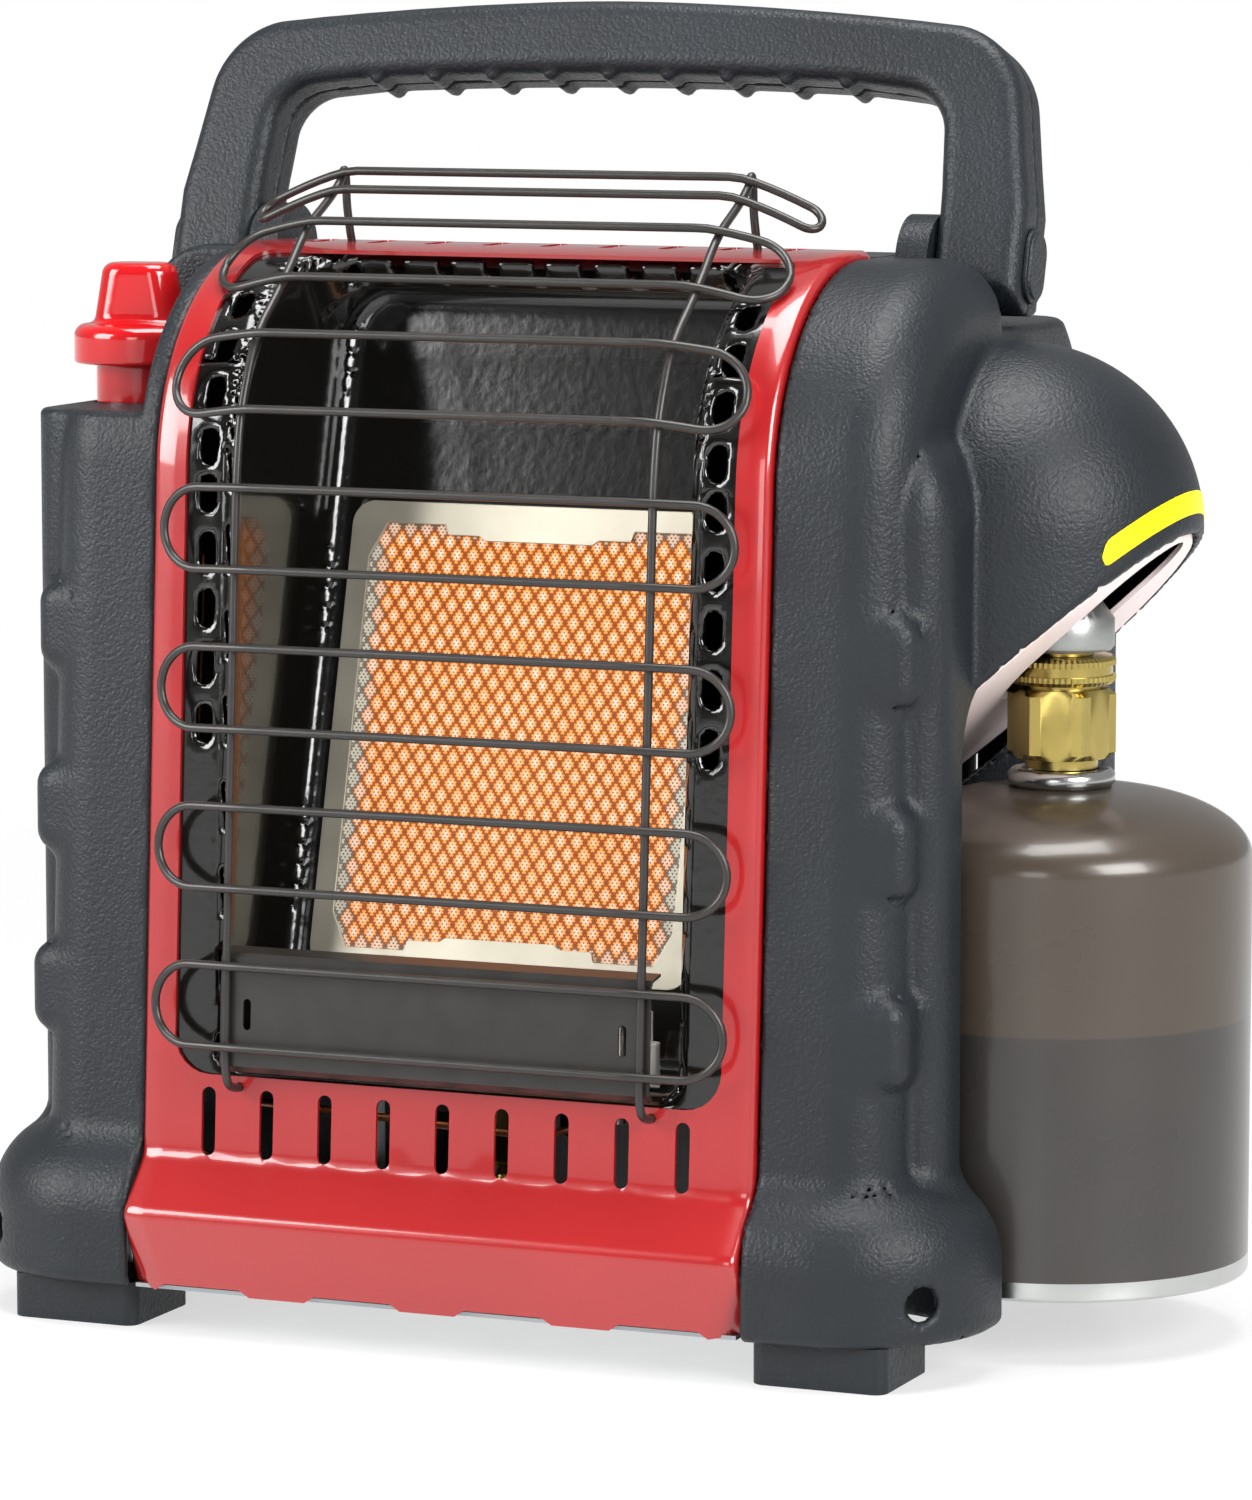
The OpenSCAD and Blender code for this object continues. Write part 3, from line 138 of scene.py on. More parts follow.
# the sheet's own glow takes over from 0.45 to 1.1 m away, so that no horizon shows
place = add(tree, "ShaderNodeTexCoord").outputs["Object"]
from_heater = add(tree, "ShaderNodeVectorMath", {0: place}, operation="LENGTH").outputs["Value"]
share = sums("MULTIPLY", sums("MAXIMUM", rays["Is Camera Ray"], rays["Is Glossy Ray"]),
             span(tree, from_heater, 0.45, 1.1, 0.62, 1.0))
sheet = add(tree, "ShaderNodeBsdfPrincipled", {
    "Base Color": linear("#F4F4F4"), "Roughness": 0.2, "IOR": 1.35})
glow = add(tree, "ShaderNodeEmission", {"Color": WHITE, "Strength": 1.0})
mix = add(tree, "ShaderNodeMixShader", {0: share, 1: sheet.outputs[0], 2: glow.outputs[0]})
add(tree, "ShaderNodeOutputMaterial", {"Surface": mix.outputs[0]})
floor_mesh.materials.append(sweep)

LAMP_TARGET = Vector((0.02, 0, 0.17))
for name, place, size, power in (
        ("left_box", (-1.15, -1.1, 0.75), 0.9, 29.0), ("right_box", (1.35, -0.75, 0.85), 0.8, 30.0),
        ("top_box", (0.1, -0.1, 1.7), 1.0, 34.0), ("low_front", (0.25, -1.9, 0.5), 0.5, 4.0)):
    lamp = bpy.data.objects.new(name, bpy.data.lights.new(name, "AREA"))
    lamp.data.shape, lamp.data.size, lamp.data.energy = "SQUARE", size, power
    lamp.location = place
    lamp.rotation_mode = "QUATERNION"
    lamp.rotation_quaternion = (LAMP_TARGET - Vector(place)).to_track_quat("-Z", "Y")
    bpy.context.collection.objects.link(lamp)

# ---- Front panel ----
# One steel sheet, cut flat with its mouth, slots and scallops, then folded: out to a lip at the
# foot, back over a wide roll at the top, and a narrow return down each side. Stoved gloss enamel.
LEAN, FOLD_Z, TOP_Z = math.radians(3.4), 51.0, 311.0
ROLL_R, BODY_D, SHEET = 66.0, 182.0, 1.2
ROLL_Y = (TOP_Z - ROLL_R - FOLD_Z) * math.tan(LEAN) + ROLL_R / math.cos(LEAN)
ROLL_Z = TOP_Z - ROLL_R
STRAIGHT = (ROLL_Z + ROLL_R * math.sin(LEAN) - FOLD_Z) / math.cos(LEAN)
ROLL_TURN = math.pi / 2 - LEAN


def surface(name, finish):
    """A new node material with one Principled shader, its finish values set on the sockets."""
    made = bpy.data.materials.new(name)
    made.use_nodes = True
    made.node_tree.nodes.clear()
    shader = add(made.node_tree, "ShaderNodeBsdfPrincipled", finish)
    add(made.node_tree, "ShaderNodeOutputMaterial", {"Surface": shader.outputs[0]})
    return made, made.node_tree, shader


def noise(tree, scale, detail, place=None):
    """A cloudy pattern from 0 to 1, in the object's own axes unless a place is given."""
    if place is None:
        place = add(tree, "ShaderNodeTexCoord").outputs["Object"]
    return add(tree, "ShaderNodeTexNoise", {"Vector": place, "Scale": scale, "Detail": detail}).outputs["Fac"]


def blend(tree, factor, *ends):
    """The colour a factor of the way between two ends, each a hex code or an output."""
    a, b = (linear(end) if isinstance(end, str) else end for end in ends)
    return add(tree, "ShaderNodeMix", {"Factor": factor, "A": a, "B": b}, data_type="RGBA").outputs["Result"]


def tinted(tree, shader, factor, *ends):
    """Gives the shader a colour blended between two ends."""
    tree.links.new(blend(tree, factor, *ends), shader.inputs["Base Color"])


def relief(tree, shader, height, strength, distance=0.0004):
    """Gives the shader a fine relief from a pattern."""
    skin = add(tree, "ShaderNodeBump", {"Height": height, "Strength": strength, "Distance": distance})
    tree.links.new(skin.outputs[0], shader.inputs["Normal"])


def rounded(corners, radii, step=1.2):
    """A path through the corners as dense points; corner k is an arc of radii[k] that touches both
    straights, its length being the radius times the turn."""
    path = [np.array(corners[0], float)]
    for before, corner, after, r in zip(corners, corners[1:], corners[2:], radii):
        a, b = (np.subtract(before, corner), np.subtract(after, corner))
        a, b = a / np.linalg.norm(a), b / np.linalg.norm(b)
        half = math.acos(np.clip(a @ b, -1, 1)) / 2
        middle = corner + (a + b) / np.linalg.norm(a + b) * r / math.sin(half)
        count = max(3, int(r * (math.pi - 2 * half) / step) + 2)
        start, end = corner + a * r / math.tan(half) - middle, corner + b * r / math.tan(half) - middle
        turn = math.pi - 2 * half
        for k in np.linspace(0, 1, count):
            path.append(middle + (math.sin((1 - k) * turn) * start + math.sin(k * turn) * end) / math.sin(turn))
    path.append(np.array(corners[-1], float))
    return np.array(path)


def loop(width, height, r, at, count=7):
    """A rounded rectangle of points about a place, corner radius r, in the sheet's own plane."""
    turn = np.linspace(0, math.pi / 2, count)
    corners = ((1, 1, 0), (-1, 1, math.pi / 2), (-1, -1, math.pi), (1, -1, -math.pi / 2))
    arcs = [np.stack([sx * (width / 2 - r) + r * np.cos(turn + q),
                      sy * (height / 2 - r) + r * np.sin(turn + q)], 1) for sx, sy, q in corners]
    return np.concatenate(arcs) + at


def inside(points, ring):
    """Which points lie inside a closed ring: a ray to the right crosses it an odd number of times."""
    a, b = ring, np.roll(ring, -1, 0)
    x, y = points[:, :1], points[:, 1:]
    crossing = (a[:, 1] > y) != (b[:, 1] > y)
    with np.errstate(divide="ignore", invalid="ignore"):
        where = a[:, 0] + (y - a[:, 1]) * (b[:, 0] - a[:, 0]) / (b[:, 1] - a[:, 1])
    return (crossing & (x < where)).sum(1) % 2 == 1


def filled(outer, holes, rows, columns):
    """Triangles that fill a flat ring round its holes, with extra points where rows meet columns."""
    rings = [outer, *holes]
    grid = np.stack(np.meshgrid(columns, rows), -1).reshape(-1, 2)
    keep = inside(grid, outer)
    for hole in holes:
        keep &= ~inside(grid, hole)
    for ring in rings:
        keep &= np.linalg.norm(grid[:, None] - ring[None], axis=2).min(1) > 1.2
    points = np.concatenate([*rings, grid[keep]])
    edges, start = [], 0
    for ring in rings:
        edges += [(start + i, start + (i + 1) % len(ring)) for i in range(len(ring))]
        start += len(ring)
    out, _, faces, *_ = delaunay_2d_cdt([Vector(p) for p in points.tolist()], edges, [], 0, 1e-5)
    out, faces = np.array([tuple(p) for p in out]), np.array(faces)
    middle = out[faces].mean(1)
    keep = inside(middle, outer)
    for hole in holes:
        keep &= ~inside(middle, hole)
    return out, faces[keep]


def body_of(node):
    """The body that carries a CAD node."""
    bodies = frame["record"]["behaviour"]["bodies"]
    return next(name for name, nodes in bodies.items() if node in nodes)


def piece(name, points, faces, material, slot, node, *others, soften=None, swap=True):
    """A mesh object from points in the maker's frame, set in the row's frame in metres. It rides the
    node's body, and stands for the node and the others unless swap is off."""
    mesh = bpy.data.meshes.new(name)
    points = np.asarray(points) / 1000 + HOME
    if isinstance(faces, np.ndarray):
        faces = faces.tolist()
    mesh.from_pydata(points.tolist(), [], faces)
    mesh.validate()
    mesh.shade_smooth()
    if soften:
        mesh.set_sharp_from_angle(angle=math.radians(soften))
    mesh.materials.append(material)
    made = bpy.data.objects.new(name, mesh)
    bpy.context.collection.objects.link(made)
    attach(made, body_of(node))
    if swap:
        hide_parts(node, *others)
    return made


def bevelled(made, width, angle=45, segments=2):
    """Breaks a piece's sharp edges with a small round."""
    bevel = made.modifiers.new("edge", "BEVEL")
    bevel.width, bevel.segments, bevel.limit_method = width / 1000, segments, "ANGLE"
    bevel.angle_limit, bevel.harden_normals = math.radians(angle), True
    return made


def dressed(node, material, edge=0.35, soften=32.0):
    """A CAD node's mesh, merged, with its flat faces joined, its edges broken by a small round and
    its rolled faces shaded smooth. It stands for the node on the node's body."""
    mesh = frame["nodes"][node].data.copy()
    mesh.name = node + "_finished"
    shape = bmesh.new()
    shape.from_mesh(mesh)
    bmesh.ops.remove_doubles(shape, verts=shape.verts, dist=2e-6)
    bmesh.ops.dissolve_limit(shape, angle_limit=math.radians(0.4), verts=shape.verts, edges=shape.edges)
    bmesh.ops.recalc_face_normals(shape, faces=shape.faces)
    shape.to_mesh(mesh)
    shape.free()
    mesh.shade_smooth()
    mesh.set_sharp_from_angle(angle=math.radians(soften))
    mesh.materials.clear()
    mesh.materials.append(material)
    made = bpy.data.objects.new(mesh.name, mesh)
    bpy.context.collection.objects.link(made)
    if edge:
        bevelled(made, edge)
    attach(made, body_of(node))
    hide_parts(node)
    return made


red_enamel, tree, shader = surface("stoved_red_enamel", {
    "Roughness": 0.26, "IOR": 1.5, "Coat Weight": 0.8, "Coat Roughness": 0.06})
relief(tree, shader, noise(tree, 380, 2), 0.06)
tinted(tree, shader, noise(tree, 14, 3), "#8C1114", "#9E181A")

PANEL_REAR = 96
straight_end = (STRAIGHT * math.sin(LEAN), FOLD_Z + STRAIGHT * math.cos(LEAN))
profile = rounded([(-10, 13), (-13.45, 36), (0, FOLD_Z), straight_end], [5, 7])
turn = np.linspace(0, ROLL_TURN, 48)[1:] + LEAN
roll = np.stack([ROLL_Y - ROLL_R * np.cos(turn), ROLL_Z + ROLL_R * np.sin(turn)], 1)
profile = np.concatenate([profile, roll, [(PANEL_REAR, TOP_Z)]])
run = np.concatenate([[0], np.cumsum(np.linalg.norm(np.diff(profile, axis=0), axis=1))])
run += STRAIGHT + ROLL_R * ROLL_TURN + PANEL_REAR - ROLL_Y - run[-1]
ahead = np.gradient(profile, run, axis=0)
ahead /= np.linalg.norm(ahead, axis=1)[:, None]
HALF, FOLD_R, RETURN = 95.0, 1.8, 7.0


def folded(flat):
    """Points of the flat sheet (across, along), folded: along runs up the profile, and across turns
    back round the side folds, where depth is the fold's radius times one less the turn's cosine."""
    across, along = np.abs(flat[:, 0]), flat[:, 1]
    y, z = (np.interp(along, run, profile[:, k]) for k in (0, 1))
    dy, dz = (np.interp(along, run, ahead[:, k]) for k in (0, 1))
    angle = np.clip((across - HALF + FOLD_R) / FOLD_R, 0, math.pi / 2)
    rest = np.maximum(across - (HALF - FOLD_R + FOLD_R * math.pi / 2), 0)
    x = np.minimum(across, HALF - FOLD_R) + FOLD_R * np.sin(angle)
    depth = FOLD_R * (1 - np.cos(angle)) + rest
    return np.stack([np.sign(flat[:, 0]) * x, y + dz * depth, z - dy * depth], 1)


wide = HALF - FOLD_R + FOLD_R * math.pi / 2 + RETURN - FOLD_R
foot_line = [(-wide, 0)]
for x in (-71, -23.5, 23.5, 71):
    foot_line += [(x - 15, 0), (x - 12, 2), (x + 12, 2), (x + 15, 0)]
foot_line = np.array(foot_line + [(wide, 0)]) + [0, run[0]]
side_rows = run[1:-1]
outer = np.concatenate([
    foot_line, np.stack([np.full(len(side_rows), wide), side_rows], 1),
    [(wide, run[-1]), (-wide, run[-1])],
    np.stack([np.full(len(side_rows), -wide), side_rows[::-1]], 1)])
MOUTH_HALF = 85.0
low, high = (75 - FOLD_Z) / math.cos(LEAN), 283.0
lower = loop(2 * MOUTH_HALF, 40, 11, (0, low + 20))[14:]
upper = loop(2 * MOUTH_HALF, 40, 8, (0, high - 20))[:14]
steps = run[(run > low + 14) & (run < high - 10)]
holes = [np.concatenate([lower, np.stack([np.full(len(steps), MOUTH_HALF), steps], 1),
                         upper, np.stack([np.full(len(steps), -MOUTH_HALF), steps[::-1]], 1)])]
SLOT_PITCH = 18.45
for x in np.arange(-4, 5) * SLOT_PITCH:
    holes += [loop(4.4, 20, 2.19, (x, 10.5), 4), loop(4.4, 16, 2.19, (x, 302.4), 4)]
for x in (-64.2, 64.2):
    holes += [loop(2.9, 2.9, 1.44, (x, 300.4), 3), loop(2.9, 2.9, 1.44, (x, 21.0), 3)]
fold_columns = np.linspace(wide, HALF - FOLD_R, 6)[1:]
columns = np.concatenate([-fold_columns, np.linspace(-88, 88, 23), fold_columns[::-1]])
rows = np.concatenate([run[1:-1], np.arange(12, 190, 11.0), [300.0, 308.0]])
flat, faces = filled(outer, holes, rows, columns)
panel = piece("front_panel_sheet", folded(flat), faces, red_enamel, "red_enamel", "front_panel")
sheet_mod = panel.modifiers.new("sheet", "SOLIDIFY")
sheet_mod.thickness, sheet_mod.offset = SHEET / 1000, -1
bevelled(panel, 0.3, 60, 1)

# ---- Side covers ----
# Two injection-moulded covers of dark ABS, open at the foot and inboard: a round-shouldered
# column that follows the panel's side, a flat outer wall, a swelling skirt and three finger pads.
# Spark-eroded tools leave a leather-like grain with a soft sparkle.
REAR_R, SET_BACK, SHELL = 60.0, 2.2, 3.0
CAN_X, CAN_Y = 149.8, 101.0
DOME_X, DOME_Z, DOME_R = CAN_X - 14, 232.0, 53.4
PLATE_Z, PLATE_SLOPE = 197.8, math.radians(42)
KNOB_X, KNOB_Y, LEDGE_Z, WALL_TOP = -125.0, 62.0, 264.0, 272.0
PIVOT_Y, PIVOT_Z = 114.0, 306.0
COLUMN_X, COLUMN_R, WALL_X, WALL_Y, WALL_R, SHOULDER_R = 133, 18, 142, 22, 12, 34
SKIRT_X, SKIRT_Y, SKIRT_R, SKIRT_TOP, FOOT_Z = 155, -11, 42, 56, 13
PAD_HEIGHTS, PAD_R, BAY_R = (201, 148, 95.5), 7, 60
HOLE_X, HOLE_Y, HOLE_Z, HOLE_R, HOLE_WAY = 142, 6, 25, 5, math.radians(50)


def round_max(a, b, r):
    """The larger of two distances, with the corner where they meet rounded to radius r."""
    a, b = a + r, b + r
    return np.minimum(np.maximum(a, b), 0) + np.hypot(np.maximum(a, 0), np.maximum(b, 0)) - r


def round_min(a, b, r):
    """The smaller of two distances, with a fillet of radius r where they meet."""
    return -round_max(-a, -b, r)


def skin_of(field, low, high, cell):
    """The surface where field(x, y, z) is zero, as points and quads: one point in each grid cell that
    the surface crosses, drawn on to it along the field's slope, and one quad round each grid edge."""
    axes = [np.arange(a, b + cell, cell) for a, b in zip(low, high)]
    value = field(*np.meshgrid(*axes, indexing="ij")).astype(np.float32)
    shape = np.array(value.shape) - 1
    strides = np.array([shape[1] * shape[2], shape[2], 1])
    total, count, quads = np.zeros((shape.prod(), 3)), np.zeros(shape.prod()), []
    for axis in range(3):
        first = np.take(value, range(shape[axis]), axis)
        last = np.take(value, range(1, shape[axis] + 1), axis)
        index = np.argwhere((first < 0) != (last < 0))
        a, b = first[tuple(index.T)], last[tuple(index.T)]
        spot = index.astype(float)
        spot[:, axis] += a / (a - b)
        one, two = [k for k in range(3) if k != axis]
        across = index[:, (one, two)]
        keep = ((across > 0) & (across < shape[[one, two]])).all(1)
        index, spot, rising = index[keep], spot[keep], (a < 0)[keep]
        ring = []
        for back_one, back_two in ((0, 0), (1, 0), (1, 1), (0, 1)):
            cell_id = (index @ strides) - back_one * strides[one] - back_two * strides[two]
            for k in range(3):
                total[:, k] += np.bincount(cell_id, spot[:, k], len(count))
            count += np.bincount(cell_id, minlength=len(count))
            ring.append(cell_id)
        ring = np.stack(ring, 1)
        flip = rising if axis == 1 else ~rising
        quads.append(np.where(flip[:, None], ring[:, ::-1], ring))
    used = np.flatnonzero(count)
    number = np.zeros(len(count), int)
    number[used] = np.arange(len(used))
    points = np.array(low) + cell * total[used] / count[used, None]
    step = 0.05
    for _ in range(3):
        here = field(*points.T)
        slope = np.stack([field(*(points + step * way).T) - field(*(points - step * way).T)
                          for way in np.eye(3)], 1) / (2 * step)
        move = -here[:, None] * slope / np.maximum((slope ** 2).sum(1), 0.2)[:, None]
        reach = np.linalg.norm(move, axis=1, keepdims=True)
        points = points + move * np.minimum(1, 0.45 * cell / np.maximum(reach, 1e-9))
    return points, number[np.concatenate(quads)]


def side_outline(y, z):
    """Signed distance from a cover's side outline: leaning front, rolled top and rounded rear."""
    front = -y * math.cos(LEAN) + (z - FOLD_Z) * math.sin(LEAN) + SET_BACK
    top = z - TOP_Z + SET_BACK
    v, w = y - ROLL_Y, z - ROLL_Z
    rolled = (v < 0) & (v * math.sin(LEAN) + w * math.cos(LEAN) > 0)
    front = np.where(rolled, np.hypot(v, w) - ROLL_R + SET_BACK, np.maximum(front, top))
    v, w = y - BODY_D + REAR_R, top + REAR_R
    rear = np.where((v > 0) & (w > 0), np.hypot(v, w) - REAR_R, np.maximum(y - BODY_D, top))
    return np.maximum(front, rear)


def pad(x, y, z, height):
    """A finger pad: a soft-edged block 27 tall that wraps the column's outer corner."""
    face = (height - FOLD_Z) * math.tan(LEAN)
    q = [np.abs(x - 120.5) - 16 + PAD_R, np.abs(y - face - 24) - 19 + PAD_R, np.abs(z - height) - 13.5 + PAD_R]
    within = np.minimum(np.maximum(np.maximum(*q[:2]), q[2]), 0)
    return np.sqrt(sum(np.maximum(a, 0) ** 2 for a in q)) + within - PAD_R


def dome_wall(x, y, z, r):
    """A half ball over a straight cylinder of the same radius."""
    return np.sqrt((x - DOME_X) ** 2 + (y - CAN_Y) ** 2 + np.maximum(z - DOME_Z, 0) ** 2) - r


def under_plate(x, z):
    """How far below the sloping plate's plane a point lies."""
    return (PLATE_Z + math.tan(PLATE_SLOPE) * (x - CAN_X) - z) * math.cos(PLATE_SLOPE)


def cover(x, y, z, left):
    """The wall of a side cover, drawn on the right-hand side: the outer form less its own offset."""
    column = round_max(side_outline(y, z), x - COLUMN_X, COLUMN_R)
    wall = round_max(round_max(x - WALL_X, WALL_Y - y, WALL_R), y - BODY_D, WALL_R)
    if left:
        wall = round_max(wall, z - LEDGE_Z, 2)
    else:
        v, w = y - BODY_D + REAR_R, z - TOP_Z + SET_BACK + REAR_R
        rear = np.hypot(np.maximum(v, 0), np.maximum(w, 0)) - REAR_R
        wall = np.maximum(round_max(wall, z - WALL_TOP, SHOULDER_R), rear)
    skirt = round_max(x - SKIRT_X, np.maximum(SKIRT_Y - y, y - BODY_D), SKIRT_R)
    skirt = round_max(skirt, z - SKIRT_TOP, 24) + 0.2 * np.maximum(FOOT_Z + 3 - z, 0) ** 2
    form = round_min(round_min(column, wall, 1.5), skirt, 5)
    for height in PAD_HEIGHTS:
        form = round_min(form, pad(x, y, z, height), 3)
    if left:
        notch = np.maximum(np.maximum(102 - x, y - KNOB_Y - 22.5), LEDGE_Z - z)
        form = round_max(form, -notch, 2)
    else:
        form = round_min(form, round_max(dome_wall(x, y, z, DOME_R), under_plate(x, z), 2.5), 1.5)
        bay = round_max(np.hypot(x - CAN_X, y - CAN_Y) - BAY_R, -under_plate(x, z), 16)
        form = round_max(form, -bay, 2.5)
    pocket = np.maximum(np.maximum(98.2 - x, PIVOT_Y - 17.9 - y), PIVOT_Z - 17 - z)
    form = round_max(form, -pocket, 2)
    shell = np.maximum(form, -form - SHELL)
    if left:
        sleeve_hole = 13.5 - np.hypot(x + KNOB_X, y - KNOB_Y)
        shell = np.maximum(shell, np.minimum(sleeve_hole, z - LEDGE_Z + 12))
    v, w = x - HOLE_X, y - HOLE_Y
    across = v * math.cos(HOLE_WAY) + w * math.sin(HOLE_WAY)
    inward = v * math.sin(HOLE_WAY) - w * math.cos(HOLE_WAY)
    shell = round_max(shell, -np.maximum(np.hypot(across, z - HOLE_Z) - HOLE_R, -14 - inward), 0.6)
    shell = round_max(round_max(shell, FOOT_Z - z, 0.5), HALF + 0.4 - x, 0.5)
    if not left:
        ball = dome_wall(x, y, z, DOME_R)
        shell = np.maximum(shell, -np.maximum(ball + SHELL, under_plate(x, z) - 4))
        shell = np.minimum(shell, np.maximum(np.maximum(ball, -ball - SHELL), under_plate(x, z)))
    return shell


abs_plastic, tree, shader = surface("grained_dark_abs", {"IOR": 1.53, "Specular IOR Level": 0.32})
place = add(tree, "ShaderNodeTexCoord").outputs["Object"]
# the grain's cells are about 1 mm, a little coarser than the mould's 0.6 mm, so that they show
grain = add(tree, "ShaderNodeTexVoronoi", {"Vector": place, "Scale": 900.0}, feature="SMOOTH_F1")
grain = grain.outputs["Distance"]
relief(tree, shader, sums("ADD", grain, noise(tree, 1500, 2)), 0.36, 0.0005)
tinted(tree, shader, noise(tree, 25, 4), "#121518", "#1D2227")
tree.links.new(span(tree, grain, 0, 0.7, 0.36, 0.5), shader.inputs["Roughness"])
cell = 1.7
points, faces = skin_of(lambda *at: cover(*at, True), (93, -14, 10), (160, 186, 313), cell)
piece("left_cover_shell", points * [-1, 1, 1], faces[:, ::-1], abs_plastic, "cover_plastic", "left_side_cover")
points, faces = skin_of(lambda *at: cover(*at, False), (80, -14, 10), (199, 186, 313), cell)
piece("right_cover_shell", points, faces, abs_plastic, "cover_plastic", "right_side_cover")
for node in ("left_handle_lug", "right_handle_lug"):
    dressed(node, abs_plastic, edge=1.2)
dressed("feet", abs_plastic, edge=0.8)

# ---- Combustion chamber ----
# A deep-drawn liner in vitreous black enamel: side walls, a roof and a back with a window for the
# burner, and a flange that follows the inside of the red panel. Drawn metal has no sharp corner.
BURNER_Y, BURNER_Z, BURNER_LEAN = 38.0, 102.0, math.radians(14.3)
BACK_N, FRAME_L = 6.0, 138.0
BOX_HALF, BOX_FLOOR, ROOF_Y, ROOF_Z = 70, 78, 75, 297.5
OVAL_X, OVAL_R, OVAL_REACH, ROOF_HOLE_R = 78.6, 2.5, 2.9, 2
OVALS = [*(np.arange(176, 243, 16.5) - FOLD_Z),
         *(STRAIGHT + 64.8 * np.radians(86.6 - np.array([74, 60, 46, 32])))]


def burner_frame_of(y, z):
    """A point in the burner's own axes: n behind its face and t up its lean."""
    v, w = y - BURNER_Y, z - BURNER_Z
    lean_cos, lean_sin = math.cos(BURNER_LEAN), math.sin(BURNER_LEAN)
    return v * lean_cos - w * lean_sin, v * lean_sin + w * lean_cos


def along_face(y, z):
    """Depth inside the panel's face, and the distance up it from the fold, over the roll."""
    v, w = y - ROLL_Y, z - ROLL_Z
    depth = y * math.cos(LEAN) - (z - FOLD_Z) * math.sin(LEAN)
    up = y * math.sin(LEAN) + (z - FOLD_Z) * math.cos(LEAN)
    rolled = v * math.sin(LEAN) + w * math.cos(LEAN) > 0
    over = STRAIGHT + ROLL_R * (np.arctan2(w, -v) + LEAN)
    return np.where(rolled, ROLL_R - np.hypot(v, w), depth), np.where(rolled, over, up)


def liner(x, y, z):
    """The liner's sheet: all that lies within its thickness of the hollow or of the panel's inside,
    behind the panel and out of the hollow, with the lip between the two drawn to a round."""
    x = np.abs(x)
    n, t = burner_frame_of(y, z)
    depth, up = along_face(y, z)
    roof = np.minimum(z - ROOF_Z, (y - ROOF_Y) * 0.817 + (z - ROOF_Z) * 0.577)
    hollow = round_max(round_max(x - BOX_HALF, roof, 16), n - BACK_N, 6)
    hollow = round_max(hollow, BOX_FLOOR - z, 5)
    sheet = round_max(-hollow, 1.3 - depth, 5)
    sheet = np.maximum(sheet, np.minimum(hollow - 1.9, np.maximum(depth - 3.2, y - 70)))
    sheet = np.maximum(sheet, np.maximum(x - 88, 72.5 - z))
    window = np.maximum(np.maximum(x - 58.8, 1 - t), np.maximum(t - FRAME_L + 1, n - 30))
    sheet = np.maximum(sheet, -window)
    for spot in OVALS:
        oval = np.hypot(x - OVAL_X, np.maximum(np.abs(up - spot) - OVAL_REACH, 0)) - OVAL_R
        sheet = round_max(sheet, -np.maximum(oval, depth - 12), 0.7)
    for spot in (0, 15, 30, 45, 60):
        drilled = np.maximum(np.hypot(x - spot, y - 71.5) - ROOF_HOLE_R, 294 - z)
        sheet = round_max(sheet, -drilled, 0.4)
    return sheet


vitreous, tree, shader = surface("vitreous_black_enamel", {
    "Base Color": linear("#0B0A08"), "Roughness": 0.16, "IOR": 1.52, "Coat Weight": 0.6, "Coat Roughness": 0.04})
relief(tree, shader, noise(tree, 300, 3), 0.12, 0.0005)
cell = 1.45
points, faces = skin_of(liner, (-92, -2, 69), (92, 104, 315), cell)
piece("combustion_liner", points, faces, vitreous, "black_enamel", "combustion_chamber")

# ---- Burner ----
# A pressed frame of heat-browned stainless sheet, leaning back, holds a perforated tile of white
# cordierite ceramic. The tile's face is moulded in diamonds and pierced all over with fine holes.
# It glows inside the diamonds; its cooler edge stays pale. On the flat tile the grooves and holes are painted
# shade: near-black, with no glow.


def on_burner(x, n, t):
    """Points given across, behind the burner's face and up its lean, in the maker's frame."""
    x, n, t = np.broadcast_arrays(x, n, t)
    return np.stack([x, BURNER_Y + n * math.cos(BURNER_LEAN) + t * math.sin(BURNER_LEAN),
                     BURNER_Z - n * math.sin(BURNER_LEAN) + t * math.cos(BURNER_LEAN)], -1)


def metal(name, dark, light, roughness, metallic=1.0, scale=60.0, bump=0.04):
    """A surface whose colour drifts between two hex codes and whose roughness wanders by a third."""
    made, tree, shader = surface(name, {"Metallic": metallic})
    cloud = noise(tree, scale, 5)
    tinted(tree, shader, cloud, dark, light)
    rough = span(tree, cloud, 0, 1, roughness * 0.8, roughness * 1.2)
    tree.links.new(rough, shader.inputs["Roughness"])
    relief(tree, shader, noise(tree, scale * 12, 2), bump, 0.0005)
    return made


browned = metal("heat_browned_stainless", "#9C9686", "#C9C3B2", 0.38, metallic=0.75, scale=35)
dressed("burner_frame", browned, edge=0.4)

ceramic, tree, shader = surface("glowing_cordierite", {"Roughness": 0.85, "Specular IOR Level": 0.2})
place = add(tree, "ShaderNodeUVMap", {}, uv_map="face_mm").outputs[0]
axes = add(tree, "ShaderNodeSeparateXYZ", {0: place})
across, up = axes.outputs["X"], axes.outputs["Y"]
# both diagonals' counts run with x over a diamond's width plus or minus t over its height
DIAMOND_W, DIAMOND_H = 5.2, 7.45
wide_part, tall_part = sums("DIVIDE", across, DIAMOND_W), sums("DIVIDE", up, DIAMOND_H)
rise, fall = sums("ADD", wide_part, tall_part), sums("SUBTRACT", wide_part, tall_part)
near = [sums("ABSOLUTE", sums("SUBTRACT", sums("FRACT", v), 0.5)) for v in (rise, fall)]
line = sums("MAXIMUM", *near)
# painted shade: a dark line along each groove between the diamonds, where the flat tile has no real groove
groove_painted_shade = span(tree, line, 0.40, 0.47, interpolation_type="SMOOTHSTEP")
from_core = sums("ADD", sums("MULTIPLY", near[0], near[0]), sums("MULTIPLY", near[1], near[1]))
core = span(tree, from_core, 0.0, 0.3, 1.0, 0.0, interpolation_type="SMOOTHSTEP")
